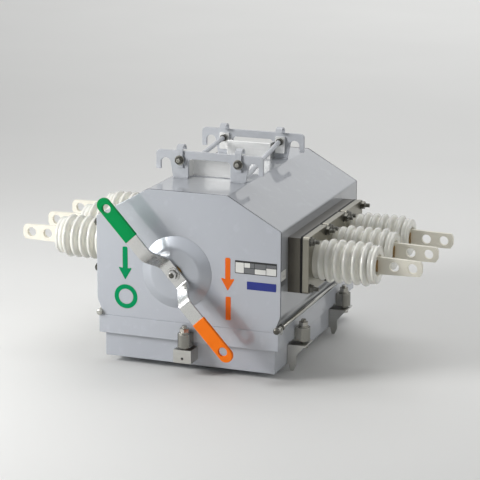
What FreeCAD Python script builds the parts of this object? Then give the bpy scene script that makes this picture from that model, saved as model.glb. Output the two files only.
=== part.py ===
import FreeCAD, Part
import math
import os

import Sketcher

# Air load-break switch for overhead lines: a gabled steel case with a bolted bottom tray,
# six horizontal porcelain bushings, a pull handle on the front and a two-plate hanger on the roof.
# Millimetres. X runs from terminal to terminal, -Y is the handle side, +Z is up.
# The origin lies under the middle of the case, at the height of the four feet.

SIZES = {
    # Case
    "case_width": 360, "case_depth": 460, "sheet": 2, "roof_height": 340, "roof_flat": 155,
    "shoulder_height": 282, "bend_height": 124, "neck_height": 99, "neck_inset": 10,
    "shoulder_radius": 5, "roof_radius": 8, "bend_radius": 28, "tool_spare": 1,
    # Skirt and tray
    "skirt_side_step": 6.5, "skirt_end_step": 1, "skirt_top": 94, "skirt_bottom": 59,
    "tray_inset": 9, "tray_base": 13, "tray_rim": 5, "tray_rim_top": 86, "ledge_width": 6,
    "seal_width": 12,
    # Bushings
    "bushing_y": -24, "bushing_z": 213, "flange_gap": 1.4, "frame_margin": 1.1,
    "frame_height": 102, "frame_depth": 23, "frame_sheet": 3, "gasket_thickness": 3.5,
    "flange_length": 109, "flange_height": 106, "flange_thickness": 12.5, "flange_corner": 6,
    "shoulder_r": 42, "shoulder_length": 7.5, "tail_r": 26, "tail_end_r": 21,
    "tail_inner_end": 128.5, "neck_r": 35, "neck_length": 9, "collar_ring_r": 37,
    "collar_ring_width": 5, "left_neck_saving": 16,
    "shed_first": 27, "shed_pitch": 17, "shed_r": 40.5, "shed_root_r": 31, "shed_tip": 3,
    "end_collar_r": 35, "end_collar_start": 102, "end_collar_end": 116, "end_recess_r": 20,
    "end_recess_depth": 7, "rod_r": 8, "fit_gap": 0.3,
    # Terminals
    "blade_root": 5, "terminal_length": 82, "terminal_height": 32, "terminal_end_height": 28,
    "terminal_thickness": 8, "terminal_nose": 4, "terminal_hole_r": 9, "terminal_pitch": 34,
    "terminal_end_margin": 18, "gland_nut_r": 13, "gland_nut_height": 6,
    # Flange studs
    "stud_r": 4, "stud_inset": 9, "stud_length": 17, "stud_nut_r": 8, "stud_nut_height": 7,
    # Handle
    "hub_x": -20.5, "hub_z": 189, "boss_r": 68, "boss_face_r": 49, "boss_height": 11,
    "handle_angle": 47.4, "bar_width": 25, "bar_thickness": 5, "bar_gap": 1, "bar_seat": 28,
    "bar_bend": 55, "bar_bend_step": 2.7, "bar_bend_r": 4, "arm_stand": 42,
    "arm_cap_centre": 174, "grip_hole_at": 166, "grip_hole_r": 8.5,
    "grip_start": 95.5, "grip_skin": 1, "hub_bolt_r": 6, "hub_head_r": 11, "hub_head_height": 8,
    "washer_r": 12.5, "washer_thickness": 2.5, "bush_r": 14, "bush_length": 15,
    # Drive
    "drive_r": 10, "running_gap": 0.05, "crank_throw": 32, "crank_width": 16, "crank_thickness": 6,
    "pin_r": 5, "link_width": 14, "link_thickness": 4, "link_gap": 1, "open_pivot_gap": 0.5,
    "rotor_r": 12, "journal_r": 8, "crank_hub_r": 18, "drive_hub_r": 14, "bearing_thickness": 4,
    "bearing_front": 25, "bearing_half": 70, "bearing_bottom": 150, "shaft_overhang": 0.5,
    # Contacts
    "contact_reach": 124, "contact_length": 20, "contact_half": 12, "tongue_length": 18,
    "tongue_half": 3, "tongue_height": 20, "blade_half": 101, "blade_thickness": 4,
    "blade_height": 18, "blade_gap": 0.3, "carrier_r": 22, "carrier_length": 36,
    "chute_height": 60, "chute_slot": 19, "chute_wall": 4, "chute_back": 12,
    "barrier_thickness": 3, "barrier_half": 112, "barrier_bottom": 108, "barrier_gap": 1.5,
    # Hanger
    "hanger_y": 117, "hanger_half": 106, "hanger_height": 51, "hanger_thickness": 6,
    "hanger_bar": 14, "window_half": 42, "leg_foot": 72, "hook_inner": 77, "hook_outer": 97,
    "hook_drop": 36, "window_radius": 8, "strap_depth": 22, "strap_sheet": 3, "strap_height": 33,
    "strap_gap": 1, "clip_x": 58, "clip_width": 12.5, "clip_thickness": 3, "clip_drop": 31,
    "clip_rest": 0.5, "clip_reach": 22, "clip_bolt_drop": 17, "clip_bolt_r": 4, "clip_nut_r": 7.5,
    "clip_nut_height": 6.5, "bolt_end": 2, "pad_width": 20, "pad_height": 33, "pad_drop": 7,
    "pad_thickness": 4, "stay_r": 4.5, "stay_rise": 5.5, "stay_foot_x": 66,
    # Side rods
    "side_rod_r": 4, "side_rod_length": 432, "side_nut_r": 6.5, "side_nut_height": 6,
    # Tray clamps
    "clamp_y": 125, "lug_reach": 13, "lug_r": 13, "lug_bottom": 53, "lug_top": 79,
    "clamp_bolt_r": 5, "clamp_hole_r": 5.5, "clamp_nut_r": 9.2, "clamp_nut_height": 8,
    "clamp_washer_r": 10.5, "clamp_washer_thickness": 2, "clamp_bolt_top": 94,
    "bracket_top": 50, "bracket_sheet": 3, "bracket_reach": 25.5, "bracket_width": 44,
    "foot_side": 27, "foot_knee": 8, "foot_knee_z": 29, "foot_tip": 3, "foot_slope": 2,
    "box_half": 17.5, "box_bottom": 25, "box_hole_r": 2.5, "box_hole_drop": 4,
}


class Size:
    """A length that carries its number and the expression that gives it."""

    def __init__(self, value, text):
        self.value = float(value)
        self.text = text

    def joined(self, other, sign, value):
        return Size(value, f"({self.text} {sign} {as_size(other).text})")

    def __add__(self, other):
        return self.joined(other, "+", self.value + as_size(other).value)

    def __sub__(self, other):
        return self.joined(other, "-", self.value - as_size(other).value)

    def __mul__(self, factor):
        return self.joined(factor, "*", self.value * as_size(factor).value)

    def __truediv__(self, factor):
        return self.joined(factor, "/", self.value / as_size(factor).value)

    def __neg__(self):
        return Size(-self.value, f"(0 - {self.text})")


def as_size(length):
    return length if isinstance(length, Size) else Size(length, f"({float(length)})")


class Sheet:
    """The driving dimensions, one spreadsheet cell each."""

    def __init__(self, document, sizes):
        cells = document.addObject("Spreadsheet::Sheet", "Sizes")
        for row, (name, value) in enumerate(sizes.items(), 1):
            cells.set(f"A{row}", name)
            cells.set(f"B{row}", str(value))
            cells.setAlias(f"B{row}", name)
            setattr(self, name, Size(value, f"Sizes.{name}"))
        document.recompute()


doc = FreeCAD.newDocument("air_break_switch")
s = Sheet(doc, SIZES)
ZERO = as_size(0)
X_AXIS, Y_AXIS, Z_AXIS = (FreeCAD.Vector(*v) for v in ((1, 0, 0), (0, 1, 0), (0, 0, 1)))
NODES = []


# Building blocks

def bind(obj, prop, length):
    length = as_size(length)
    if not prop.startswith("Placement") and not prop.startswith("Constraints"):
        setattr(obj, prop, length.value)
    obj.setExpression(prop, length.text)


def place(obj, at, turn=None):
    base = FreeCAD.Vector(*(as_size(c).value for c in at))
    obj.Placement = FreeCAD.Placement(base, turn or FreeCAD.Rotation())
    for axis, length in zip("xyz", at):
        bind(obj, f"Placement.Base.{axis}", length)
    return obj


AXIS_TURN = {
    "X": FreeCAD.Rotation(Y_AXIS, 90),
    "Y": FreeCAD.Rotation(X_AXIS, -90),
    "Z": FreeCAD.Rotation(),
}


def block(name, x, y, z):
    """A box between three pairs of limits."""
    obj = doc.addObject("Part::Box", name)
    for prop, (low, high) in zip(("Length", "Width", "Height"), (x, y, z)):
        bind(obj, prop, as_size(high) - low)
    return place(obj, (x[0], y[0], z[0]))


def rod(name, start, axis, radius, length):
    """A cylinder that starts at a point and runs along +X, +Y or +Z."""
    obj = doc.addObject("Part::Cylinder", name)
    bind(obj, "Radius", radius)
    bind(obj, "Height", length)
    return place(obj, start, AXIS_TURN[axis])


def hexagon(name, start, axis, radius, length):
    obj = doc.addObject("Part::Prism", name)
    obj.Polygon = 6
    bind(obj, "Circumradius", radius)
    bind(obj, "Height", length)
    return place(obj, start, AXIS_TURN[axis])


def frustum(name, start, turn, radius, end_radius, length):
    obj = doc.addObject("Part::Cone", name)
    bind(obj, "Radius1", radius)
    bind(obj, "Radius2", end_radius)
    bind(obj, "Height", length)
    return place(obj, start, turn)


def fuse(name, pieces):
    obj = doc.addObject("Part::MultiFuse", name)
    obj.Shapes = pieces
    obj.Refine = True
    return obj


def cut(name, base, tools):
    obj = doc.addObject("Part::Cut", name)
    obj.Base = base
    obj.Tool = tools[0] if len(tools) == 1 else fuse(f"{name}_tools", tools)
    return obj


def common(name, pieces):
    obj = doc.addObject("Part::MultiCommon", name)
    obj.Shapes = pieces
    return obj


def group(name, pieces):
    """Separate solids that share one node."""
    obj = doc.addObject("Part::Compound", name)
    obj.Links = pieces
    return obj


def node(obj, label):
    obj.Label = label
    NODES.append(obj)
    return obj


def span(side, low, high):
    """A pair of limits on the +X side, or its mirror image on the -X side."""
    low, high = as_size(low), as_size(high)
    return (low, high) if side > 0 else (-high, -low)


def new_body(name):
    return doc.addObject("PartDesign::Body", name)


def outline(body, name, plane, points):
    """A closed sketch of straight lines whose corners are bound to the sizes."""
    sketch = body.newObject("Sketcher::SketchObject", name)
    origin = [f for f in body.Origin.OriginFeatures if f.Role == plane]
    sketch.AttachmentSupport = (origin[0], "")
    sketch.MapMode = "FlatFace"
    corners = [(as_size(u), as_size(v)) for u, v in points]
    vectors = [FreeCAD.Vector(u.value, v.value, 0) for u, v in corners]
    for index, start in enumerate(vectors):
        sketch.addGeometry(Part.LineSegment(start, vectors[(index + 1) % len(vectors)]))
    for index in range(len(vectors)):
        following = (index + 1) % len(vectors)
        sketch.addConstraint(Sketcher.Constraint("Coincident", index, 2, following, 1))
    for index, corner in enumerate(corners):
        for kind, length in zip(("DistanceX", "DistanceY"), corner):
            offset = Sketcher.Constraint(kind, -1, 1, index, 1, length.value)
            number = sketch.addConstraint(offset)
            sketch.setExpression(f"Constraints[{number}]", length.text)
    return sketch


def pad(body, sketch, length, name="pad"):
    feature = body.newObject("PartDesign::Pad", name)
    feature.Profile = sketch
    bind(feature, "Length", length)
    doc.recompute()
    return feature


def revolve(body, sketch, name="turned"):
    feature = body.newObject("PartDesign::Revolution", name)
    feature.Profile = sketch
    feature.ReferenceAxis = (sketch, ["H_Axis"])
    feature.Angle = 360
    doc.recompute()
    return feature


def straight_edges(shape, axis, across):
    """Names of the edges along an axis that pass through given points of the cross plane."""
    names = []
    others = [i for i in range(3) if i != axis]
    for number, edge in enumerate(shape.Edges, 1):
        ends = [v.Point for v in edge.Vertexes]
        if len(ends) != 2 or any(abs(ends[0][i] - ends[1][i]) > 0.01 for i in others):
            continue
        place_across = [ends[0][i] for i in others]
        for point in across:
            if all(abs(p - as_size(c).value) < 0.01 for p, c in zip(place_across, point)):
                names.append(f"Edge{number}")
    return names


def round_edges(body, feature, radius, axis, across, name):
    fillet = body.newObject("PartDesign::Fillet", name)
    fillet.Base = (feature, straight_edges(feature.Shape, axis, across))
    bind(fillet, "Radius", radius)
    doc.recompute()
    return fillet


# Case

half_width = s.case_width / 2
half_depth = s.case_depth / 2
half_neck = half_width - s.neck_inset
skirt_face = half_neck + s.skirt_side_step
skirt_front = half_depth + s.skirt_end_step
roof_inside = s.roof_height - s.sheet


def gable_corners():
    """The case's outline seen from the handle side, from the right foot of the wall round."""
    right = [
        (half_neck, s.skirt_top),
        (half_neck, s.neck_height),
        (half_width, s.bend_height),
        (half_width, s.shoulder_height),
        (s.roof_flat / 2, s.roof_height),
    ]
    return right + [(-x, z) for x, z in reversed(right)]


def gable(body, depth):
    """The case's cross-section at a given depth, with the bends of its sheet."""
    feature = pad(body, outline(body, "gable", "XZ_Plane", gable_corners()), depth)
    for name, radius, x, z in (
        ("neck_bend", s.bend_radius, half_width, s.bend_height),
        ("shoulder_bend", s.shoulder_radius, half_width, s.shoulder_height),
        ("roof_bend", s.roof_radius, s.roof_flat / 2, s.roof_height),
    ):
        feature = round_edges(body, feature, radius, 1, [(x, z), (-x, z)], name)
    return feature


def hood_wrap():
    """Roof and side walls: one sheet bent round the gables, open at the ends and below."""
    body = new_body("wrap_body")
    solid = gable(body, s.case_depth - s.sheet * 2)
    open_faces = []
    for number, face in enumerate(solid.Shape.Faces, 1):
        normal = face.normalAt(0, 0)
        if abs(normal.y) > 0.99 or normal.z < -0.99:
            open_faces.append(f"Face{number}")
    shell = body.newObject("PartDesign::Thickness", "shell")
    shell.Base = (solid, open_faces)
    bind(shell, "Value", s.sheet)
    shell.Reversed = True
    shell.Join = 0
    place(body, (0, half_depth - s.sheet, 0))
    margin = s.frame_sheet * 2
    window = block(
        "wall_window", (half_width - s.sheet * 2, half_width + s.sheet),
        (s.bushing_y - frame_length / 2 + margin, s.bushing_y + frame_length / 2 - margin),
        (s.bushing_z - s.frame_height / 2 + margin, s.bushing_z + s.frame_height / 2 - margin))
    holes = tail_and_stud_holes(-1, half_width - s.sheet * 2, half_width + s.sheet)
    node(cut("hood_wrap", body, [window] + holes), "hood_wrap")


def end_panel(label, back, hole):
    """A flat gable panel; its back face lies at y = back."""
    body = new_body(f"{label}_body")
    gable(body, s.sheet)
    place(body, (0, back, 0))
    if hole:
        bore = rod("hub_hole", (s.hub_x, back - s.sheet * 2, s.hub_z), "Y", s.bush_r, s.sheet * 3)
        node(cut(label, body, [bore]), label)
    else:
        node(body, label)


def skirt():
    """The band round the foot of the case, with a ledge that carries the walls."""
    half_x, half_y = skirt_face, skirt_front
    outer = block("skirt_outer", (-half_x, half_x), (-half_y, half_y),
                  (s.skirt_bottom, s.skirt_top))
    inner = block("skirt_inner", (-half_x + s.sheet, half_x - s.sheet),
                  (-half_y + s.sheet, half_y - s.sheet),
                  (s.skirt_bottom - s.sheet, s.skirt_top - s.sheet))
    open_x, open_y = half_neck - s.ledge_width, half_depth - s.ledge_width
    mouth = block("skirt_mouth", (-open_x, open_x), (-open_y, open_y),
                  (s.skirt_top - s.sheet * 2, s.skirt_top + s.sheet))
    node(cut("skirt", outer, [inner, mouth]), "skirt")


def tray():
    """The bottom tray with its turned-out rim, and the seal on the rim."""
    half_x, half_y = skirt_face - s.tray_inset, skirt_front - s.tray_inset
    top = s.tray_rim_top
    outer = block("tray_outer", (-half_x, half_x), (-half_y, half_y), (s.tray_base, top))
    rim = block("tray_rim_plate", (-half_x - s.tray_rim, half_x + s.tray_rim),
                (-half_y - s.tray_rim, half_y + s.tray_rim), (top - s.sheet, top))
    inner = block("tray_inner", (-half_x + s.sheet, half_x - s.sheet),
                  (-half_y + s.sheet, half_y - s.sheet),
                  (s.tray_base + s.sheet, top + s.sheet))
    node(cut("bottom_tray", fuse("tray_skin", [outer, rim]), [inner]), "bottom_tray")
    out_x, out_y = half_x + s.tray_rim, half_y + s.tray_rim
    ledge = s.skirt_top - s.sheet
    ring = block("seal_outer", (-out_x, out_x), (-out_y, out_y), (top, ledge))
    hole = block("seal_inner", (-out_x + s.seal_width, out_x - s.seal_width),
                 (-out_y + s.seal_width, out_y - s.seal_width),
                 (top - s.tool_spare, ledge + s.tool_spare))
    node(cut("tray_seal", ring, [hole]), "tray_seal")


# Bushings

frame_face = half_width + s.frame_depth
bushing_pitch = s.flange_length + s.flange_gap
frame_length = s.flange_length * 3 + s.flange_gap * 2 + s.frame_margin * 2
phase_y = [s.bushing_y + bushing_pitch * step for step in (-1, 0, 1)]
tail_hole_r = s.tail_r + s.fit_gap
PHASES = ("front", "middle", "rear")
SIDES = (("right", 1), ("left", -1))


def mount_face(side):
    """The face that the gaskets lie on: the frame's on the right, the wall's on the left."""
    return frame_face if side > 0 else half_width


def gasket_face(side):
    return mount_face(side) + s.gasket_thickness


def flange_face(side):
    return gasket_face(side) + s.flange_thickness


def neck_saving(side):
    """How much shorter the left porcelains are, which have no ring behind their sheds."""
    return ZERO if side > 0 else s.left_neck_saving


def bushing_end(side):
    return flange_face(side) + s.end_collar_end - neck_saving(side)


def tail_and_stud_holes(side, low, high):
    """The round holes in a wall for three bushing tails, and the twelve for the studs."""
    x = span(side, low, high)
    holes = [rod("tail_hole", (x[0], y, s.bushing_z), "X", tail_hole_r, x[1] - x[0])
             for y in phase_y]
    for y, z in stud_places():
        holes.append(rod("stud_hole", (x[0], y, z), "X", s.stud_r, x[1] - x[0]))
    return holes


def bushing_frame():
    """The raised box on the right wall that carries three bushings."""
    y_low, y_high = s.bushing_y - frame_length / 2, s.bushing_y + frame_length / 2
    z_low, z_high = s.bushing_z - s.frame_height / 2, s.bushing_z + s.frame_height / 2
    skin = s.frame_sheet
    outer = block("frame_outer", (half_width, frame_face), (y_low, y_high), (z_low, z_high))
    inner = block("frame_inner", (half_width - skin, frame_face - skin),
                  (y_low + skin, y_high - skin), (z_low + skin, z_high - skin))
    holes = tail_and_stud_holes(1, frame_face - skin * 2, frame_face + skin)
    node(cut("bushing_frame", outer, [inner] + holes), "bushing_frame")


def stud_places():
    """Four studs at the corners of each flange."""
    out_y = s.flange_length / 2 - s.stud_inset
    out_z = s.flange_height / 2 - s.stud_inset
    return [(y + out_y * i, s.bushing_z + out_z * k)
            for y in phase_y for i in (-1, 1) for k in (-1, 1)]


def square_plate(name, x, y):
    """A square plate with rounded corners, facing along X."""
    half_y, half_z = s.flange_length / 2, s.flange_height / 2
    corners = [(-half_y, -half_z), (half_y, -half_z), (half_y, half_z), (-half_y, half_z)]
    body = new_body(name)
    feature = pad(body, outline(body, "square", "YZ_Plane", corners), x[1] - x[0])
    round_edges(body, feature, s.flange_corner, 0, corners, "plate_corner")
    return place(body, (x[0], y, s.bushing_z))


def plates(label, side, low, high, hole_r, pocket_r=None, pocket_depth=None):
    """Three square plates side by side, one to a phase, drilled for the studs."""
    pieces = []
    x = span(side, low, high)
    length = x[1] - x[0]
    out_y = s.flange_length / 2 - s.stud_inset
    out_z = s.flange_height / 2 - s.stud_inset
    for y in phase_y:
        tools = [rod("bore", (x[0], y, s.bushing_z), "X", hole_r, length)]
        if pocket_r:
            start = x[0] if side > 0 else x[1] - pocket_depth
            tools.append(rod("pocket", (start, y, s.bushing_z), "X", pocket_r, pocket_depth))
        for i in (-1, 1):
            for k in (-1, 1):
                tools.append(rod("stud_hole", (x[0], y + out_y * i, s.bushing_z + out_z * k),
                                 "X", s.stud_r, length))
        pieces.append(cut(f"{label}_plate", square_plate(f"{label}_blank", x, y), tools))
    node(group(label, pieces), label)


def flange_studs(name, side):
    """Studs that stand out of the wall or frame, each with its nut on the flange."""
    pieces = []
    face = flange_face(side)
    stud = span(side, mount_face(side) - s.frame_sheet, face + s.stud_length)
    nut = span(side, face, face + s.stud_nut_height)
    for y, z in stud_places():
        shank = rod("stud", (stud[0], y, z), "X", s.stud_r, stud[1] - stud[0])
        head = hexagon("stud_nut", (nut[0], y, z), "X", s.stud_nut_r, nut[1] - nut[0])
        pieces.append(fuse("stud_and_nut", [shank, head]))
    label = f"flange_studs_{name}"
    node(group(label, pieces), label)


def bushing_profile(side):
    """Half the section of one bushing, from x = 0 at the gasket outward, r across."""
    bore = s.rod_r + s.fit_gap
    out = s.flange_thickness
    ring = out + s.neck_length
    first = out + s.shed_first - neck_saving(side)
    end = out + s.end_collar_end - neck_saving(side)
    collar = end - (s.end_collar_end - s.end_collar_start)
    points = [
        (s.tail_inner_end - gasket_face(side), bore),
        (s.tail_inner_end - gasket_face(side), s.tail_end_r),
        (-s.gasket_thickness * 2, s.tail_r),
        (ZERO, s.tail_r),
        (ZERO, s.shoulder_r),
        (s.shoulder_length, s.shoulder_r),
        (s.shoulder_length, s.neck_r),
    ]
    if side > 0:
        points += [
            (ring, s.neck_r),
            (ring, s.collar_ring_r),
            (ring + s.collar_ring_width, s.collar_ring_r),
        ]
    else:
        points.append((out, s.neck_r))
    points.append((first - s.shed_pitch / 2, s.shed_root_r))
    for shed in range(5):
        middle = first + s.shed_pitch * shed
        points += [
            (middle - s.shed_tip, s.shed_r - s.shed_tip / 2),
            (middle, s.shed_r),
            (middle + s.shed_tip, s.shed_r - s.shed_tip / 2),
        ]
        if shed < 4:
            points.append((middle + s.shed_pitch / 2, s.shed_root_r))
    points += [
        (collar - s.shed_tip, s.shed_root_r),
        (collar, s.end_collar_r),
        (end, s.end_collar_r),
        (end, s.end_recess_r),
        (end - s.end_recess_depth, s.end_recess_r),
        (end - s.end_recess_depth, bore),
    ]
    return points


def bushing(name, side, phase, y):
    """One turned porcelain, held at its shoulder by the flange."""
    label = f"bushing_{name}_{phase}"
    body = new_body(label)
    revolve(body, outline(body, "section", "XZ_Plane", bushing_profile(side)))
    turn = FreeCAD.Rotation(Z_AXIS, 0 if side > 0 else 180)
    place(body, (gasket_face(side) * side, y, s.bushing_z), turn)
    node(body, label)


def terminal(name, side, phase, y):
    """The conductor rod, its gland nut and the flat two-hole bar at its outer end."""
    label = f"terminal_{name}_{phase}"
    start = bushing_end(side) - s.blade_root
    tip = start + s.terminal_length + s.terminal_nose
    root, end = s.terminal_height / 2, s.terminal_end_height / 2
    body = new_body(f"{label}_bar")
    corners = [
        (start, -root), (tip - s.terminal_nose, -end), (tip, ZERO - end / 2),
        (tip, end / 2), (tip - s.terminal_nose, end), (start, root),
    ]
    pad(body, outline(body, "bar_outline", "XZ_Plane", corners), s.terminal_thickness)
    place(body, (0, s.terminal_thickness / 2, 0))
    shank = rod("conductor", (s.contact_reach, 0, 0), "X", s.rod_r,
                bushing_end(side) - s.contact_reach)
    nut = hexagon("gland_nut", (bushing_end(side) - s.end_recess_depth, 0, 0), "X",
                  s.gland_nut_r, s.gland_nut_height)
    holes = []
    for step in (0, 1):
        x = tip - s.terminal_end_margin - s.terminal_pitch * step
        holes.append(rod("terminal_hole", (x, -s.terminal_thickness, 0), "Y",
                         s.terminal_hole_r, s.terminal_thickness * 2))
    piece = cut(label, fuse(f"{label}_blank", [body, shank, nut]), holes)
    place(piece, (0, y, s.bushing_z), FreeCAD.Rotation(Z_AXIS, 0 if side > 0 else 180))
    node(piece, label)


# Handle and drive

panel_front = -half_depth
bar_back = panel_front - s.boss_height - s.bar_gap
bar_front = bar_back - s.bar_thickness
outward = FreeCAD.Rotation(X_AXIS, 90)


def front_boss():
    """The shallow pressed dish round the shaft, with the bush in its middle."""
    start = (s.hub_x, panel_front, s.hub_z)
    outer = frustum("boss_outer", start, outward, s.boss_r, s.boss_face_r, s.boss_height)
    inner = frustum("boss_inner", start, outward, s.boss_r - s.sheet, s.boss_face_r - s.sheet,
                    s.boss_height - s.sheet)
    bore = rod("boss_bore", (s.hub_x, panel_front - s.boss_height * 2, s.hub_z), "Y", s.bush_r,
               s.boss_height * 3)
    node(cut("front_boss", outer, [inner, bore]), "front_boss")
    face = panel_front - s.boss_height
    sleeve = rod("bush_outer", (s.hub_x, face, s.hub_z), "Y", s.bush_r, s.bush_length)
    hole = rod("bush_bore", (s.hub_x, face - s.tool_spare, s.hub_z), "Y",
               s.drive_r + s.running_gap, s.bush_length + s.tool_spare * 2)
    node(cut("front_bush", sleeve, [hole]), "front_bush")


def side_profile():
    """The bar's bent edge: u along the bar, v outward from its seat on the shaft."""
    end = s.arm_cap_centre + s.bar_width / 2
    step, front = s.bar_bend_step, s.arm_stand + s.bar_thickness
    right = [
        (s.bar_seat, ZERO), (s.bar_bend, s.arm_stand), (end, s.arm_stand),
        (end, front), (s.bar_bend - step, front), (s.bar_seat - step, s.bar_thickness),
    ]
    left = [(-u, v) for u, v in reversed(right)]
    return right + left


def flat_outline(name, start, width, low, high):
    """A flat strip with round ends, from u = start to the arm's cap on one or both sides."""
    depth = high - low
    pieces = [block(f"{name}_strip", (start, s.arm_cap_centre), (low, high),
                    (-width / 2, width / 2)),
              rod(f"{name}_cap", (s.arm_cap_centre, low, 0), "Y", width / 2, depth)]
    if start.value < 0:
        pieces.append(rod(f"{name}_cap", (start, low, 0), "Y", width / 2, depth))
    return fuse(name, pieces)


def handle_place(obj, mirrored=False):
    """Lays a piece drawn along the bar on the switch: u up and to the left, v outward."""
    lean = SIZES["handle_angle"] + (180 if mirrored else 0)
    turn = FreeCAD.Rotation(Y_AXIS, lean).multiply(FreeCAD.Rotation(Z_AXIS, 180))
    return place(obj, (s.hub_x, bar_back, s.hub_z), turn)


def grip_holes(name, both):
    reach = s.arm_stand + s.bar_thickness * 4
    sides = (1, -1) if both else (1,)
    return [rod(name, (s.grip_hole_at * side, 0, 0), "Y", s.grip_hole_r, reach)
            for side in sides]


def handle():
    """The double-bent bar and the two coloured grips slid over its ends."""
    body = new_body("bar_bend_body")
    profile = side_profile()
    feature = pad(body, outline(body, "bent_edge", "XY_Plane", profile), s.bar_width)
    for name, radius, bends in (
        ("outer_bends", s.bar_bend_r + s.bar_thickness, (profile[0], profile[4])),
        ("inner_bends", s.bar_bend_r, (profile[1], profile[5])),
    ):
        both = list(bends) + [(-u, v) for u, v in bends]
        feature = round_edges(body, feature, radius, 2, both, name)
    place(body, (0, 0, -s.bar_width / 2))
    reach = s.arm_stand + s.bar_thickness * 2
    plan = flat_outline("bar_plan", -s.arm_cap_centre, s.bar_width, -s.bar_thickness, reach)
    bolt = rod("bar_bolt_hole", (0, -s.bar_thickness, 0), "Y", s.hub_bolt_r, s.bar_thickness * 3)
    bar = cut("handle_bar", common("bar_shape", [body, plan]), [bolt] + grip_holes("grip_hole", True))
    node(handle_place(bar), "handle_bar")
    for label, mirrored in (("off_grip", False), ("on_grip", True)):
        low = s.arm_stand - s.grip_skin
        high = s.arm_stand + s.bar_thickness + s.grip_skin
        skin = flat_outline(f"{label}_skin", s.grip_start, s.bar_width + s.grip_skin * 2, low, high)
        core = flat_outline(f"{label}_core", s.grip_start - s.tool_spare, s.bar_width, s.arm_stand,
                            s.arm_stand + s.bar_thickness)
        grip = cut(label, skin, [core] + grip_holes("grip_bore", False))
        node(handle_place(grip, mirrored), label)


def drive_shaft():
    """The shaft through the front, with the bolt and washer that hold the handle."""
    front_bearing = panel_front + s.bearing_front + s.bearing_thickness
    shaft_end = front_bearing + s.link_gap + s.bearing_thickness + s.crank_thickness
    start = (s.hub_x, bar_back, s.hub_z)
    shaft = rod("shaft_blank", start, "Y", s.drive_r, shaft_end - bar_back)
    tapped = rod("shaft_thread", start, "Y", s.hub_bolt_r, s.bush_length)
    node(cut("drive_shaft", shaft, [tapped]), "drive_shaft")
    washer_front = bar_front - s.washer_thickness
    head_front = washer_front - s.hub_head_height
    washer = rod("hub_washer", (s.hub_x, washer_front, s.hub_z), "Y", s.washer_r,
                 s.washer_thickness)
    head = hexagon("hub_head", (s.hub_x, head_front, s.hub_z), "Y", s.hub_head_r,
                   s.hub_head_height)
    shank = rod("hub_shank", (s.hub_x, head_front, s.hub_z), "Y", s.hub_bolt_r,
                bar_back + s.bush_length - head_front)
    node(fuse("handle_bolt", [washer, head, shank]), "handle_bolt")
    return shaft_end


def crank(label, x, z, y_low, hub_r, bore_r, pin_low, pin_length):
    """An arm that stands straight up from a shaft, with a pin at its end."""
    thick = s.crank_thickness
    arm = block("arm", (x - s.crank_width / 2, x + s.crank_width / 2), (y_low, y_low + thick),
                (z, z + s.crank_throw))
    hub = rod("hub", (x, y_low, z), "Y", hub_r, thick)
    eye = rod("eye", (x, y_low, z + s.crank_throw), "Y", s.crank_width / 2, thick)
    pin = rod("pin", (x, pin_low, z + s.crank_throw), "Y", s.pin_r, pin_length)
    bore = rod("crank_bore", (x, y_low - thick, z), "Y", bore_r, thick * 3)
    node(cut(label, fuse(f"{label}_blank", [arm, hub, eye, pin]), [bore]), label)


def drive_train(shaft_end):
    """Two equal cranks and the link between them, so that both shafts turn alike."""
    drive_low = shaft_end - s.crank_thickness
    link_low = shaft_end + s.link_gap
    rotor_low = link_low + s.link_thickness + s.link_gap
    proud = s.link_gap / 2
    pin_length = s.crank_thickness + s.link_gap + s.link_thickness + proud
    crank("drive_crank", s.hub_x, s.hub_z, drive_low, s.drive_hub_r, s.drive_r, drive_low,
          pin_length)
    crank("rotor_crank", ZERO, s.bushing_z, rotor_low, s.crank_hub_r, s.rotor_r,
          link_low - proud, pin_length)
    run = math.hypot(s.hub_x.value, s.bushing_z.value - s.hub_z.value)
    rise = math.degrees(math.atan2(s.bushing_z.value - s.hub_z.value, -s.hub_x.value))
    bar = block("link_bar", (0, run), (0, s.link_thickness), (-s.link_width / 2, s.link_width / 2))
    eyes = [rod("link_eye", (u, 0, 0), "Y", s.link_width / 2, s.link_thickness) for u in (0, run)]
    through = s.link_thickness + s.tool_spare * 2
    holes = [rod("link_hole", (0, -s.tool_spare, 0), "Y", s.pin_r + s.running_gap, through),
             rod("open_hole", (run, -s.tool_spare, 0), "Y", s.pin_r + s.open_pivot_gap, through)]
    link = cut("drive_link", fuse("link_blank", [bar] + eyes), holes)
    node(place(link, (s.hub_x, link_low, s.hub_z + s.crank_throw),
               FreeCAD.Rotation(Y_AXIS, -rise)), "drive_link")
    return rotor_low


def bearing_plates():
    """Two plates hung under the roof that carry the rotor and the drive shaft."""
    front = panel_front + s.bearing_front
    rear = half_depth - s.bearing_front - s.bearing_thickness
    for label, y_low, holes in (
        ("bearing_plate_front", front, ((ZERO, s.bushing_z, s.journal_r),
                                        (s.hub_x, s.hub_z, s.drive_r))),
        ("bearing_plate_rear", rear, ((ZERO, s.bushing_z, s.journal_r),)),
    ):
        plate = block("bearing_blank", (-s.bearing_half, s.bearing_half),
                      (y_low, y_low + s.bearing_thickness), (s.bearing_bottom, roof_inside))
        bores = [rod("bearing_bore", (x, y_low - s.tool_spare, z), "Y", r + s.running_gap,
                     s.bearing_thickness + s.tool_spare * 2) for x, z, r in holes]
        node(cut(label, plate, bores), label)
    return front, rear


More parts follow.
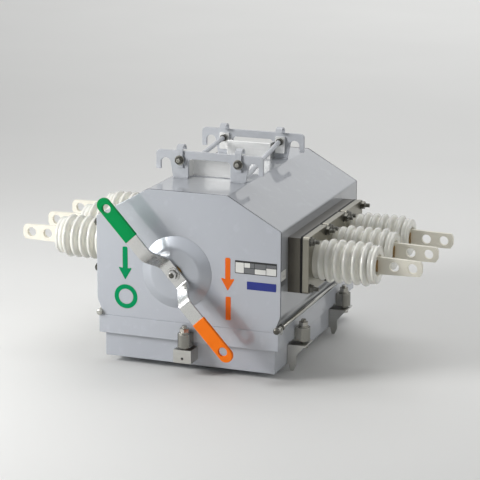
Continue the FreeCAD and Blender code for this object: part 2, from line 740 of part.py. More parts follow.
def rotor(rotor_low, front, rear):
    """The insulated shaft with three blade carriers and their pairs of blades."""
    start = front - s.shaft_overhang
    end = rear + s.bearing_thickness + s.shaft_overhang
    core = rod("rotor_core", (0, rotor_low, s.bushing_z), "Y", s.rotor_r,
               rear - s.shaft_overhang - rotor_low)
    journals = rod("journals", (0, start, s.bushing_z), "Y", s.journal_r, end - start)
    node(fuse("rotor_shaft", [core, journals]), "rotor_shaft")
    inner = s.tongue_half + s.blade_gap
    outer = inner + s.blade_thickness
    carriers, blades = [], []
    for y in phase_y:
        hub = rod("carrier_hub", (0, y - s.carrier_length / 2, s.bushing_z), "Y", s.carrier_r,
                  s.carrier_length)
        tools = [rod("carrier_bore", (0, y - s.carrier_length, s.bushing_z), "Y", s.rotor_r,
                     s.carrier_length * 2)]
        for low, high in ((y - outer, y - inner), (y + inner, y + outer)):
            limits = ((-s.blade_half, s.blade_half), (low, high),
                      (s.bushing_z - s.blade_height / 2, s.bushing_z + s.blade_height / 2))
            tools.append(block("blade_slot", *limits))
            bore = rod("blade_bore", (0, low - s.tool_spare, s.bushing_z), "Y", s.rotor_r,
                       s.blade_thickness + s.tool_spare * 2)
            # The bore is wider than the blade, so each blade is a pair of arms.
            blades.append(cut("blade", block("blade_strip", *limits), [bore]))
        carriers.append(cut("carrier", hub, tools))
    node(group("blade_carriers", carriers), "blade_carriers")
    node(group("moving_blades", blades), "moving_blades")


def fixed_contacts():
    """A clamp block with a tongue on the inner end of every conductor, and its arc chute."""
    blocks, chutes = [], []
    reach = s.contact_reach
    for name, side in SIDES:
        for y in phase_y:
            body = block("contact_block", span(side, reach - s.contact_length, reach),
                         (y - s.contact_half, y + s.contact_half),
                         (s.bushing_z - s.contact_half, s.bushing_z + s.contact_half))
            tongue = block("tongue", span(side, reach - s.contact_length - s.tongue_length,
                                          reach - s.contact_length),
                           (y - s.tongue_half, y + s.tongue_half),
                           (s.bushing_z - s.tongue_height / 2, s.bushing_z + s.tongue_height / 2))
            blocks.append(fuse("fixed_contact", [body, tongue]))
            chutes.append(arc_chute(side, y))
    node(group("fixed_contacts", blocks), "fixed_contacts")
    node(group("arc_chutes", chutes), "arc_chutes")


def arc_chute(side, y):
    """A slotted box on the contact block, on the side that the blade leaves by."""
    inner = s.contact_reach - s.contact_length - s.tongue_length
    outer = s.contact_reach
    half = s.chute_slot / 2 + s.chute_wall
    near = s.bushing_z + s.contact_half
    far = near + s.chute_height
    if side < 0:
        near, far = s.bushing_z - s.contact_half - s.chute_height, s.bushing_z - s.contact_half
    shell = block("chute_shell", span(side, inner, outer), (y - half, y + half), (near, far))
    slot = block("chute_slot_cut", span(side, inner - s.tool_spare, outer - s.chute_back),
                 (y - s.chute_slot / 2, y + s.chute_slot / 2),
                 (near - s.tool_spare, far + s.tool_spare))
    return cut("arc_chute", shell, [slot])


def phase_barriers():
    pieces = []
    for low, high in zip(phase_y, phase_y[1:]):
        middle = (low + high) / 2
        sheet = block("barrier_sheet", (-s.barrier_half, s.barrier_half),
                      (middle - s.barrier_thickness / 2, middle + s.barrier_thickness / 2),
                      (s.barrier_bottom, roof_inside))
        roof = [cornered_roof_cut(side, middle) for side in (1, -1)]
        hole = rod("barrier_hole", (0, middle - s.barrier_thickness, s.bushing_z), "Y",
                   s.rotor_r + s.barrier_gap, s.barrier_thickness * 2)
        pieces.append(cut("phase_barrier", sheet, roof + [hole]))
    node(group("phase_barriers", pieces), "phase_barriers")


def cornered_roof_cut(side, y):
    """Clears a barrier's upper corner, where the roof starts to slope."""
    flat_end = s.roof_flat / 2 - s.roof_radius
    return block("roof_corner", span(side, flat_end, s.barrier_half + s.tool_spare),
                 (y - s.barrier_thickness, y + s.barrier_thickness),
                 (s.roof_height - s.barrier_half / 4 - s.roof_radius, s.roof_height))


# Hanger

inner_face = s.hanger_y - s.hanger_thickness / 2
outer_face = s.hanger_y + s.hanger_thickness / 2
hanger_top = s.roof_height + s.hanger_height
clip_bolt_z = hanger_top - s.clip_bolt_drop


def hanger_outline():
    """The hanger plate: two legs, a window between them and a hook beyond each."""
    bar_under = hanger_top - s.hanger_bar
    hook_end = hanger_top - s.hook_drop
    right = [
        (s.window_half, bar_under),
        (s.window_half, s.roof_height),
        (s.leg_foot, s.roof_height),
        (s.hook_inner, bar_under - (s.hook_outer - s.hook_inner) / 2),
        (s.hook_inner, bar_under),
        (s.hook_outer, bar_under),
        (s.hook_outer, hook_end),
        (s.hanger_half, hook_end),
        (s.hanger_half, hanger_top),
    ]
    return right + [(-x, z) for x, z in reversed(right)]


def hanger_plate(label, side):
    """One hanger plate; side is -1 at the front and 1 at the rear."""
    body = new_body(f"{label}_body")
    bar_under = hanger_top - s.hanger_bar
    feature = pad(body, outline(body, "hanger_outline", "XZ_Plane", hanger_outline()),
                  s.hanger_thickness)
    arch = (s.hook_outer - s.hook_inner) / 2 - 0.1
    for name, radius, corners in (
        ("hook_arch", arch, ((s.hook_inner, bar_under), (s.hook_outer, bar_under))),
        ("window_corner", s.window_radius, ((s.window_half, bar_under),)),
        ("top_corner", s.window_radius, ((s.hanger_half, hanger_top),)),
    ):
        both = list(corners) + [(-x, z) for x, z in corners]
        feature = round_edges(body, feature, radius, 1, both, name)
    place(body, (0, s.hanger_y * side + s.hanger_thickness / 2, 0))
    bolts = [rod("clip_hole", (s.clip_x * way, s.hanger_y * side - s.hanger_thickness,
                               clip_bolt_z), "Y", s.clip_bolt_r, s.hanger_thickness * 2)
             for way in (1, -1)]
    node(cut(label, body, bolts), label)


def away(side, near, far):
    """Y limits that run outward from the middle of the roof, towards the side given."""
    near, far = as_size(near), as_size(far)
    return (near, far) if side > 0 else (-far, -near)


def hanger_strap(side):
    """A hat-shaped strap between the two legs of one plate, on its inner side."""
    low, high = s.roof_height + s.strap_gap, s.roof_height + s.strap_height
    reach = s.window_half + s.strap_sheet
    web = block("strap_web", (-reach, reach),
                away(side, inner_face - s.strap_depth, inner_face - s.strap_depth + s.strap_sheet),
                (low, high))
    wings = [block("strap_wing", span(way, s.window_half, reach),
                   away(side, inner_face - s.strap_depth, inner_face), (low, high))
             for way in (1, -1)]
    return fuse("strap", [web] + wings)


def hook_clip(side, way):
    """A bent strip bolted to the plate's outer face, curled over its top edge."""
    x = span(way, s.clip_x - s.clip_width / 2, s.clip_x + s.clip_width / 2)
    width = x[1] - x[0]
    out = outer_face + s.clip_thickness
    radius = s.clip_reach / 2
    upper = hanger_top + s.clip_rest
    leg = block("clip_leg", x, away(side, outer_face, out), (hanger_top - s.clip_drop, upper))
    middle = (out - radius) * side
    ring = cut("clip_ring", rod("clip_round", (x[0], middle, upper), "X", radius, width),
               [rod("clip_hollow", (x[0], middle, upper), "X", radius - s.clip_thickness, width),
                block("clip_lower", x, (middle - radius, middle + radius),
                      (upper - radius, upper))])
    depth = away(side, outer_face - s.tool_spare, out + s.tool_spare)
    hole = rod("clip_bolt_hole", (s.clip_x * way, depth[0], clip_bolt_z), "Y", s.clip_bolt_r,
               depth[1] - depth[0])
    return cut("hook_clip", fuse("clip_blank", [leg, ring]), [hole])


pad_face = inner_face - s.pad_thickness
inner_bolt_end = pad_face - s.clip_nut_height - s.bolt_end


def clip_bolt(side, way):
    """Bolt, outer nut, inner square pad and inner nut at one leg of a plate."""
    out = outer_face + s.clip_thickness
    x = s.clip_x * way
    shank = away(side, inner_bolt_end, out + s.clip_nut_height + s.bolt_end)
    outer_nut = away(side, out, out + s.clip_nut_height)
    inner_nut = away(side, pad_face - s.clip_nut_height, pad_face)
    pad_top = hanger_top - s.pad_drop
    square = block("pad", (x - s.pad_width / 2, x + s.pad_width / 2),
                   away(side, pad_face, inner_face), (pad_top - s.pad_height, pad_top))
    pieces = [square, rod("clip_shank", (x, shank[0], clip_bolt_z), "Y", s.clip_bolt_r,
                          shank[1] - shank[0])]
    for nut in (outer_nut, inner_nut):
        pieces.append(hexagon("clip_nut", (x, nut[0], clip_bolt_z), "Y", s.clip_nut_r,
                              s.clip_nut_height))
    return fuse("clip_bolt", pieces)


def stay(way):
    """A round stay from the end of the rear plate's bolt to the foot of the front plate."""
    foot = FreeCAD.Vector(s.stay_foot_x.value * way, -inner_face.value,
                          (s.roof_height + s.stay_rise).value)
    head = FreeCAD.Vector(s.clip_x.value * way, inner_bolt_end.value, clip_bolt_z.value)
    run = head - foot
    spare = s.stay_r.value * 2
    bar = doc.addObject("Part::Cylinder", "stay_bar")
    bind(bar, "Radius", s.stay_r)
    bar.Height = run.Length + spare * 2
    turn = FreeCAD.Rotation(Z_AXIS, run)
    bar.Placement = FreeCAD.Placement(foot + turn.multVec(FreeCAD.Vector(0, 0, -spare)), turn)
    keep = block("stay_limits", span(way, s.clip_x - s.pad_width, s.clip_x + s.pad_width),
                 (-inner_face, inner_bolt_end), (s.roof_height, hanger_top))
    return common("stay", [bar, keep])


def hanger():
    hanger_plate("hanger_plate_front", -1)
    hanger_plate("hanger_plate_rear", 1)
    corners = [(side, way) for side in (-1, 1) for way in (-1, 1)]
    node(group("hanger_straps", [hanger_strap(side) for side in (-1, 1)]), "hanger_straps")
    node(group("hook_clips", [hook_clip(*c) for c in corners]), "hook_clips")
    node(group("hanger_bolts", [clip_bolt(*c) for c in corners]), "hanger_bolts")
    node(group("hanger_stays", [stay(way) for way in (-1, 1)]), "hanger_stays")


# Side rods and tray clamps

def side_rods():
    """A rod in the groove above the skirt on each side, with a nut at its front end."""
    pieces = []
    x = half_neck + s.side_rod_r + s.fit_gap
    z = s.skirt_top + s.side_rod_r
    start = -skirt_front - s.side_nut_height / 2
    for side in (1, -1):
        bar = rod("side_rod", (x * side, start, z + s.fit_gap), "Y", s.side_rod_r,
                  s.side_rod_length)
        nut = hexagon("side_nut", (x * side, start - s.side_nut_height / 2, z + s.fit_gap), "Y",
                      s.side_nut_r, s.side_nut_height)
        pieces.append(fuse("rod_and_nut", [bar, nut]))
    node(group("side_rods", pieces), "side_rods")


CLAMPS = (
    ("side", 0, (skirt_face, -s.clamp_y)),
    ("side", 0, (skirt_face, s.clamp_y)),
    ("side", 180, (-skirt_face, -s.clamp_y)),
    ("side", 180, (-skirt_face, s.clamp_y)),
    ("end", -90, (ZERO, -skirt_front)),
    ("end", 90, (ZERO, skirt_front)),
)


def on_wall(obj, angle, at):
    """Stands a piece, drawn with u outward from the skirt's face, on one of the four walls."""
    return place(obj, (at[0], at[1], 0), FreeCAD.Rotation(Z_AXIS, angle))


def clamp_lug():
    """The rounded lug on the skirt that the clamp bolt passes through."""
    back = block("lug_back", (0, s.lug_reach), (-s.lug_r, s.lug_r), (s.lug_bottom, s.lug_top))
    nose = rod("lug_nose", (s.lug_reach, 0, s.lug_bottom), "Z", s.lug_r,
               s.lug_top - s.lug_bottom)
    hole = rod("lug_hole", (s.lug_reach, 0, s.lug_bottom - s.tool_spare), "Z", s.clamp_hole_r,
               s.lug_top - s.lug_bottom + s.tool_spare * 2)
    return cut("lug", fuse("lug_blank", [back, nose]), [hole])


def clamp_bolt():
    """Bolt with its head under the tray bracket, and washer and nut on the lug."""
    under = s.bracket_top - s.bracket_sheet
    head = hexagon("clamp_head", (s.lug_reach, 0, under - s.clamp_nut_height), "Z",
                   s.clamp_nut_r, s.clamp_nut_height)
    shank = rod("clamp_shank", (s.lug_reach, 0, under), "Z", s.clamp_bolt_r,
                s.clamp_bolt_top - under)
    washer = rod("clamp_washer", (s.lug_reach, 0, s.lug_top), "Z", s.clamp_washer_r,
                 s.clamp_washer_thickness)
    nut = hexagon("clamp_nut", (s.lug_reach, 0, s.lug_top + s.clamp_washer_thickness), "Z",
                  s.clamp_nut_r, s.clamp_nut_height)
    return fuse("clamp_bolt", [head, shank, washer, nut])


def side_bracket(front):
    """Tray bracket of a side clamp: a shelf, and a gusset that runs down into a foot."""
    top, sheet, wall = s.bracket_top, s.bracket_sheet, -s.tray_inset
    edge = -s.foot_side if front else s.foot_side
    low, high = (edge, edge + s.bracket_width) if front else (edge - s.bracket_width, edge)
    shelf = block("shelf", (wall, s.bracket_reach), (low, high), (top - sheet, top))
    gusset = new_body("gusset")
    corners = [
        (wall, top), (wall, s.tray_base), (-s.foot_knee + s.foot_slope, s.tray_base),
        (-s.foot_tip, ZERO), (s.foot_tip, ZERO), (s.foot_knee, s.tray_base - s.foot_slope),
        (s.foot_knee, s.foot_knee_z), (s.bracket_reach, top),
    ]
    pad(gusset, outline(gusset, "gusset_outline", "XZ_Plane", corners), sheet)
    place(gusset, (0, edge + sheet if front else edge, 0))
    hole = rod("shelf_hole", (s.lug_reach, 0, top - sheet * 2), "Z", s.clamp_hole_r, sheet * 3)
    return cut("side_bracket", fuse("bracket_blank", [shelf, gusset]), [hole])


def end_bracket():
    """Tray bracket of an end clamp: a folded box, open below, with a small drain hole."""
    top, sheet, wall = s.bracket_top, s.bracket_sheet, -s.tray_inset
    shell = block("box_shell", (wall, s.bracket_reach), (-s.box_half, s.box_half),
                  (s.box_bottom, top))
    hollow = block("box_hollow", (wall - s.tool_spare, s.bracket_reach - sheet),
                   (-s.box_half + sheet, s.box_half - sheet),
                   (s.box_bottom - s.tool_spare, top - sheet))
    hole = rod("box_bolt_hole", (s.lug_reach, 0, top - sheet * 2), "Z", s.clamp_hole_r, sheet * 3)
    middle = (s.box_bottom + top) / 2
    drain = rod("drain_hole", (s.bracket_reach - sheet * 2, 0, middle - s.box_hole_drop), "X",
                s.box_hole_r, sheet * 3)
    return cut("end_bracket", shell, [hollow, hole, drain])


def tray_clamps():
    lugs, bolts, side_brackets, end_brackets = [], [], [], []
    for kind, angle, at in CLAMPS:
        lugs.append(on_wall(clamp_lug(), angle, at))
        bolts.append(on_wall(clamp_bolt(), angle, at))
        if kind == "side":
            # The foot is on the handle side of every bracket.
            side_brackets.append(on_wall(side_bracket(angle == 0), angle, at))
        else:
            end_brackets.append(on_wall(end_bracket(), angle, at))
    node(group("clamp_lugs", lugs), "clamp_lugs")
    node(group("clamp_bolts", bolts), "clamp_bolts")
    node(group("side_brackets", side_brackets), "side_brackets")
    node(group("end_brackets", end_brackets), "end_brackets")


def build():
    hood_wrap()
    end_panel("front_panel", -half_depth + s.sheet, True)
    end_panel("rear_panel", half_depth, False)
    skirt()
    tray()
    bushing_frame()
    for name, side in SIDES:
        gasket = gasket_face(side)
        plates(f"flange_gaskets_{name}", side, mount_face(side), gasket, tail_hole_r)
        plates(f"flanges_{name}", side, gasket, flange_face(side), s.neck_r + s.fit_gap,
               s.shoulder_r + s.fit_gap, s.shoulder_length)
        flange_studs(name, side)
        for phase, y in zip(PHASES, phase_y):
            bushing(name, side, phase, y)
            terminal(name, side, phase, y)
    front_boss()
    handle()
    shaft_end = drive_shaft()
    rotor_low = drive_train(shaft_end)
    front, rear = bearing_plates()
    rotor(rotor_low, front, rear)
    fixed_contacts()
    phase_barriers()
    hanger()
    side_rods()
    tray_clamps()


def check_and_write():
    doc.recompute()
    for obj in doc.Objects:
        if {"Invalid", "Error"} & set(obj.State):
            raise RuntimeError(f"{obj.Name} failed: {obj.State}")
    os.makedirs("parts", exist_ok=True)
    for obj in NODES:
        shape = obj.Shape
        if shape.isNull() or not shape.isValid() or not shape.Solids:
            raise RuntimeError(f"{obj.Label} has no valid solid")
    for obj in NODES:
        obj.Shape.exportStep(f"parts/{obj.Label}.step")
    print(len(NODES), "nodes")


build()
check_and_write()
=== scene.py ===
import math

import bmesh
import bpy
from mathutils import Matrix, Vector

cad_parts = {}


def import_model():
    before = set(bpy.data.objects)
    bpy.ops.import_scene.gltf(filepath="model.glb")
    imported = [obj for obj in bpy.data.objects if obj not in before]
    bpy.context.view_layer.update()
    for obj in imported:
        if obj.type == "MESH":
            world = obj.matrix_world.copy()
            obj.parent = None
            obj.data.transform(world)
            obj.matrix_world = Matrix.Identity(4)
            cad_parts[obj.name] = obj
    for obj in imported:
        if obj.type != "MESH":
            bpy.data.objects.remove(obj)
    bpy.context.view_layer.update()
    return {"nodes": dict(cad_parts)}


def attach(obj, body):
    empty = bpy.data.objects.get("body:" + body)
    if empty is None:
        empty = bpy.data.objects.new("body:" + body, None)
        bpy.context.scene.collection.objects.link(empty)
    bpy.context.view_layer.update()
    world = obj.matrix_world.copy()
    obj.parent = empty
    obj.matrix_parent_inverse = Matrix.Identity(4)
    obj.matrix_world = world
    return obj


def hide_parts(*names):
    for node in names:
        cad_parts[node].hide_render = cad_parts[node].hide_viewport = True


# Air load-break switch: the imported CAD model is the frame, and the pieces below dress it.
# Lengths are written in millimetres and turned into metres where a mesh is made.

MM = 0.001
PHASES = (("front", -134.4), ("middle", -24.0), ("rear", 86.4))
SIDES = (("right", 1), ("left", -1))

# Case
PANEL_Y = -230.0
HALF_WIDTH = 180.0
HALF_DEPTH = 230.0
SHEET = 2.0
GABLE = [(170, 94), (170, 99), (180, 124), (180, 282), (77.5, 340)]
PANEL_UP = ((1, 0, 0), (0, 0, 1))

# Marks start this far along +Y or +X from the face that they lie on
MARK_SHIFT = 0.05

# Bushings: face under the gaskets, saving in the neck, and the terminals' far end
AXIS_Z = 213.0
MOUNT_FACE = {1: 203.0, -1: 180.0}
NECK_SAVING = {1: 0.0, -1: 16.0}
TERMINAL_TIP = {1: 416.0, -1: 377.0}
GASKET = 3.5
FLANGE_THICK = 12.5
FLANGE_HALF_Y = 54.5
FLANGE_HALF_Z = 53.0
STUD_INSET = 9.0
STUD_LENGTH = {1: 36.0, -1: 29.0}
CONTACT_X = 124.0
TAIL_INNER_END = 128.5
SHED_FIRST = 27.0
SHED_PITCH = 17.0
SHED_COUNT = 5
PORCELAIN_END = 116.0
TERMINAL_LENGTH = 86.0
TERMINAL_HOLES = (18, 52)
TERMINAL_HOLE_R = 9

# Handle
HUB = Vector((-20.5, 0.0, 189.0))
BAR_BACK = 242.0
BAR_THICK = 5.0
BAR_HALF = 12.5
ARM_STAND = 42.0
ARM_CAP_AT = 174
GRIP_START = 95.5
GRIP_HOLE_AT = 166
LEAN = math.radians(47.4)
ALONG = Vector((-math.cos(LEAN), 0.0, math.sin(LEAN)))
ACROSS = Vector((math.sin(LEAN), 0.0, math.cos(LEAN)))
OUTWARD = Vector((0.0, -1.0, 0.0))

# Hanger and clamps
ROOF_Z = 340.0
HANGER_Y = 117.0
HANGER_HALF_THICK = 3.0
PAD_LOW = 351
PAD_HIGH = 384
CLIP_X = 58.0
CLIP_BOLT_Z = 374.0
CLAMPS = ((0, (176.5, -125)), (0, (176.5, 125)), (180, (-176.5, -125)), (180, (-176.5, 125)),
          (-90, (0, -231)), (90, (0, 231)))
CLAMP_REACH = 13.0
SIDE_ROD = (174.3, 98.3)
# painted shade: dark discs set back in the drain holes
DRAIN_SHADE_Y = (-255.3, 254.8)
DRAIN_SHADE_Z = 33.5

# Camera, in metres
CAMERA_AT = (1.2791, -3.4018, 1.1193)
CAMERA_TO = (0.0170, 0.0, 0.1989)
CAMERA_ROLL = 0.25
CAMERA_FOV = 14.07

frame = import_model()


# Materials

def material(name, colour, rough=0.5, metal=0.0):
    mat = bpy.data.materials.new(name)
    mat.use_nodes = True
    shader = mat.node_tree.nodes["Principled BSDF"]
    shader.inputs["Base Color"].default_value = (*colour, 1.0)
    shader.inputs["Roughness"].default_value = rough
    shader.inputs["Metallic"].default_value = metal
    return mat, mat.node_tree, shader


def srgb(code):
    """Linear colour from a screen colour written as six hex digits."""
    values = [int(code[i:i + 2], 16) / 255 for i in (0, 2, 4)]
    return tuple(v / 12.92 if v < 0.04045 else ((v + 0.055) / 1.055) ** 2.4 for v in values)


def noise(tree, scale, detail=4.0, stretch=(1, 1, 1), distortion=0.0):
    """A noise pattern on object coordinates; scale counts features per metre."""
    coords = tree.nodes.new("ShaderNodeTexCoord")
    mapping = tree.nodes.new("ShaderNodeMapping")
    mapping.inputs["Scale"].default_value = stretch
    pattern = tree.nodes.new("ShaderNodeTexNoise")
    pattern.inputs["Scale"].default_value = scale
    pattern.inputs["Detail"].default_value = detail
    pattern.inputs["Distortion"].default_value = distortion
    tree.links.new(coords.outputs["Object"], mapping.inputs["Vector"])
    tree.links.new(mapping.outputs["Vector"], pattern.inputs["Vector"])
    return pattern.outputs["Fac"]


def ramp(tree, source, low, high, at=(0.35, 0.65)):
    """Carries a pattern between two colours."""
    node = tree.nodes.new("ShaderNodeValToRGB")
    node.color_ramp.elements[0].position = at[0]
    node.color_ramp.elements[1].position = at[1]
    node.color_ramp.elements[0].color = (*low, 1.0)
    node.color_ramp.elements[1].color = (*high, 1.0)
    tree.links.new(source, node.inputs["Fac"])
    return node.outputs["Color"]


def spread(tree, source, low, high):
    """Carries a pattern between two numbers."""
    node = tree.nodes.new("ShaderNodeMapRange")
    node.inputs["From Min"].default_value = 0.3
    node.inputs["From Max"].default_value = 0.7
    node.inputs["To Min"].default_value = low
    node.inputs["To Max"].default_value = high
    tree.links.new(source, node.inputs["Value"])
    return node.outputs["Result"]


def bump(tree, shader, source, distance, strength=1.0):
    """Adds relief; several calls stack on one another."""
    node = tree.nodes.new("ShaderNodeBump")
    node.inputs["Distance"].default_value = distance
    node.inputs["Strength"].default_value = strength
    tree.links.new(source, node.inputs["Height"])
    earlier = shader.inputs["Normal"].links
    if earlier:
        tree.links.new(earlier[0].from_socket, node.inputs["Normal"])
    tree.links.new(node.outputs["Normal"], shader.inputs["Normal"])


def shade(colour, factor):
    return tuple(min(1.0, c * factor) for c in colour)


def painted_edge_highlight(tree, shader, base, highlight, radius, at=(0.56, 0.72)):
    """Painted highlight: lightens a colour where the surface turns sharply, broken up by noise."""
    geometry = tree.nodes.new("ShaderNodeNewGeometry")
    mixed = tree.nodes.new("ShaderNodeMath")
    mixed.operation = "MULTIPLY"
    tree.links.new(geometry.outputs["Pointiness"], mixed.inputs[0])
    tree.links.new(spread(tree, noise(tree, radius), 0.85, 1.15), mixed.inputs[1])
    mask = tree.nodes.new("ShaderNodeMapRange")
    mask.inputs["From Min"].default_value = at[0]
    mask.inputs["From Max"].default_value = at[1]
    tree.links.new(mixed.outputs[0], mask.inputs["Value"])
    blend = tree.nodes.new("ShaderNodeMix")
    blend.data_type = "RGBA"
    blend.inputs["B"].default_value = (*highlight, 1.0)
    tree.links.new(mask.outputs["Result"], blend.inputs["Factor"])
    tree.links.new(base, blend.inputs["A"])
    tree.links.new(blend.outputs["Result"], shader.inputs["Base Color"])


def paint(name, code, rough=0.45, coat=1.0, coat_rough=0.06, metal=0.0):
    """Glossy enamel on sheet steel: even colour, a clear skin, a painted highlight along the edges.
    """
    colour = srgb(code)
    mat, tree, shader = material(name, colour, rough, metal)
    tone = ramp(tree, noise(tree, 3.0, 3.0), shade(colour, 0.985), shade(colour, 1.012))
    # painted highlight: the enamel lightens along sharp edges
    painted_edge_highlight(tree, shader, tone, shade(colour, 1.15), 60.0, (0.57, 0.7))
    smears = noise(tree, 9.0, 5.0, (1, 1, 0.35), 0.4)
    tree.links.new(spread(tree, smears, rough - 0.05, rough + 0.06), shader.inputs["Roughness"])
    bump(tree, shader, noise(tree, 350.0, 2.0), 0.00002)
    bump(tree, shader, noise(tree, 5.0, 1.0), 0.0006, 0.25)
    shader.inputs["Coat Weight"].default_value = coat
    shader.inputs["Coat Roughness"].default_value = coat_rough
    shader.inputs["Coat IOR"].default_value = 1.85
    shader.inputs["Specular IOR Level"].default_value = 0.2
    return mat


def steel(name, code, rough, stretch, scratch=0.00003):
    """Rolled or drawn stainless: fine lines along the piece and cloudy gloss."""
    colour = srgb(code)
    mat, tree, shader = material(name, colour, rough, 1.0)
    lines = noise(tree, 260.0, 3.0, stretch)
    tree.links.new(ramp(tree, lines, shade(colour, 0.95), shade(colour, 1.02), (0.25, 0.75)),
                   shader.inputs["Base Color"])
    tree.links.new(spread(tree, noise(tree, 14.0, 5.0), rough - 0.03, rough + 0.04),
                   shader.inputs["Roughness"])
    bump(tree, shader, lines, scratch)
    return mat


def glaze(name, code, rough=0.16):
    """Glazed porcelain: deep gloss, faint mottling and a slightly wavy surface."""
    colour = srgb(code)
    mat, tree, shader = material(name, colour, rough)
    mottle = ramp(tree, noise(tree, 34.0, 6.0), shade(colour, 0.95), shade(colour, 1.02))
    tree.links.new(mottle, shader.inputs["Base Color"])
    tree.links.new(spread(tree, noise(tree, 60.0, 3.0), rough - 0.04, rough + 0.08),
                   shader.inputs["Roughness"])
    bump(tree, shader, noise(tree, 90.0, 2.0), 0.00012)
    shader.inputs["Coat Weight"].default_value = 0.5
    shader.inputs["Coat Roughness"].default_value = 0.06
    shader.inputs["Subsurface Weight"].default_value = 0.06
    shader.inputs["Subsurface Radius"].default_value = (0.004, 0.003, 0.002)
    return mat


def moulding(name, code, rough, scale=320.0, grain=0.00005, low=0.94, gloss=0.5):
    """Plastic, rubber or laminate: fine grain and a slow change of tone."""
    colour = srgb(code)
    mat, tree, shader = material(name, colour, rough)
    tone = ramp(tree, noise(tree, 18.0, 4.0), shade(colour, low), shade(colour, 1.04))
    tree.links.new(tone, shader.inputs["Base Color"])
    tree.links.new(spread(tree, noise(tree, 70.0, 4.0), rough - 0.06, rough + 0.08),
                   shader.inputs["Roughness"])
    bump(tree, shader, noise(tree, scale, 3.0), grain)
    shader.inputs["Specular IOR Level"].default_value = gloss
    return mat


def laminate(name, code):
    """Pressed insulating board with its fine weave."""
    colour = srgb(code)
    mat, tree, shader = material(name, colour, 0.45)
    weave = noise(tree, 500.0, 2.0, (1, 1, 0.2))
    tree.links.new(ramp(tree, weave, shade(colour, 0.8), shade(colour, 1.15)),
                   shader.inputs["Base Color"])
    tree.links.new(spread(tree, noise(tree, 25.0), 0.38, 0.55), shader.inputs["Roughness"])
    bump(tree, shader, weave, 0.00005)
    return mat


CASE_PAINT = paint("case_enamel", "B2B6BE")
BOSS_PAINT = paint("boss_enamel", "B2B6BD", 0.36, 0.4, 0.16, 0.55)
# a darker copy of the case enamel: painted shade on the hood wrap
ROOF_SHADED_PAINT = paint("roof_enamel_shaded", "A3A6AB", 0.4)
HANGER_PAINT = paint("hanger_enamel", "BEC1C6", 0.4, 0.4)
# dark strip along the panel seams: painted shade in the joint
SEAM_SHADE = moulding("seam_shade_strip", "2A2C2F", 0.55, 500.0, 0.00004, 0.8)
FLANGE_STEEL = steel("flange_stainless", "9A978C", 0.36, (1, 1, 0.25), 0.00006)
# stainless made far darker than its own colour: painted shade on the bushing frame
FRAME_SHADED_STEEL = steel("frame_stainless_shaded", "625F58", 0.32, (1, 0.2, 1), 0.00004)
BAR_STEEL = steel("bar_stainless", "C6C6C4", 0.27, (1, 1, 1), 0.00001)
# stainless brightened nearly to white: a painted highlight on the straps, which the pads share
STRAP_LIT_STEEL = steel("strap_stainless_lit", "E9E9E7", 0.38, (0.1, 1, 1), 0.00005)
FIXING_STEEL = steel("fixing_stainless", "ABA9A2", 0.2, (1, 1, 0.2))
DARK_FIXING = steel("dark_fixing", "5E5D58", 0.26, (1, 1, 1), 0.00004)
ROD_STEEL = steel("rod_stainless", "B9B8B2", 0.2, (1, 0.1, 1))
LUG_STEEL = steel("lug_stainless", "8E8D87", 0.19, (1, 1, 0.3), 0.00006)
SHELF_STEEL = steel("shelf_stainless", "C4C3BE", 0.3, (0.2, 1, 1), 0.00005)
ZINC = steel("zinc_plate", "A5A49C", 0.42, (1, 1, 1), 0.00005)
PORCELAIN = glaze("porcelain_glaze", "E9E8E0")
TINNED = moulding("tinned_copper", "ECE8DA", 0.34, 260.0, 0.00004, 0.96)
COPPER = steel("bare_copper", "C77B58", 0.33, (0.1, 1, 1), 0.00005)
BRASS = steel("gland_brass", "A88A5C", 0.36, (1, 1, 1), 0.00005)
BRONZE = steel("bush_bronze", "A8854E", 0.38, (1, 1, 1), 0.00005)
RUBBER = moulding("seal_rubber", "161616", 0.7, 420.0, 0.00012, 0.7)
GREEN = moulding("green_grip", "008F4C", 0.45, gloss=0.1)
ORANGE = moulding("orange_grip", "FF7C1C", 0.45, gloss=0.1)
GREEN_INK = moulding("green_paint", "008F58", 0.5, 500.0, 0.00002, gloss=0.1)
ORANGE_INK = moulding("orange_paint", "EE6E22", 0.5, 500.0, 0.00002, gloss=0.1)
BLANK_PLATE = moulding("blank_plate", "E2E2DE", 0.3, 600.0, 0.00002)
GREY_PLATE = moulding("grey_plate", "6E7072", 0.35, 600.0, 0.00002)
PLATE_BORDER = moulding("plate_border", "232425", 0.4, 600.0, 0.00002)
BLUE_LABEL = moulding("blue_label", "1C2C84", 0.34, 600.0, 0.00002)
BOARD = laminate("insulating_board", "8C4A2C")


# Mesh tools, in millimetres

TURN = {
    "X": Matrix.Rotation(math.radians(90), 4, "Y"),
    "Y": Matrix.Rotation(math.radians(-90), 4, "X"),
    "Z": Matrix.Identity(4),
}


def add_rod(bm, start, axis, radius, length, sides=32):
    """A cylinder from a point along +X, +Y or +Z."""
    turn = Matrix.Translation(start) @ TURN[axis] @ Matrix.Translation((0, 0, length / 2))
    bmesh.ops.create_cone(bm, cap_ends=True, segments=sides, radius1=radius, radius2=radius,
                          depth=length, matrix=turn)


LATHE_TURN = {
    "X": Matrix.Identity(4),
    "Y": Matrix.Rotation(math.radians(90), 4, "Z"),
    "Z": Matrix.Rotation(math.radians(-90), 4, "Y"),
}


def add_rings(bm, rings):
    """Joins rings of points, and single points at the ends, with faces."""
    loops = [[bm.verts.new(point) for point in ring] for ring in rings]
    for near, far in zip(loops, loops[1:]):
        count = max(len(near), len(far))
        for i in range(count):
            j = (i + 1) % count
            corners = [near[i % len(near)], near[j % len(near)],
                       far[j % len(far)], far[i % len(far)]]
            face = list(dict.fromkeys(corners))
            if len(face) > 2:
                bm.faces.new(face)


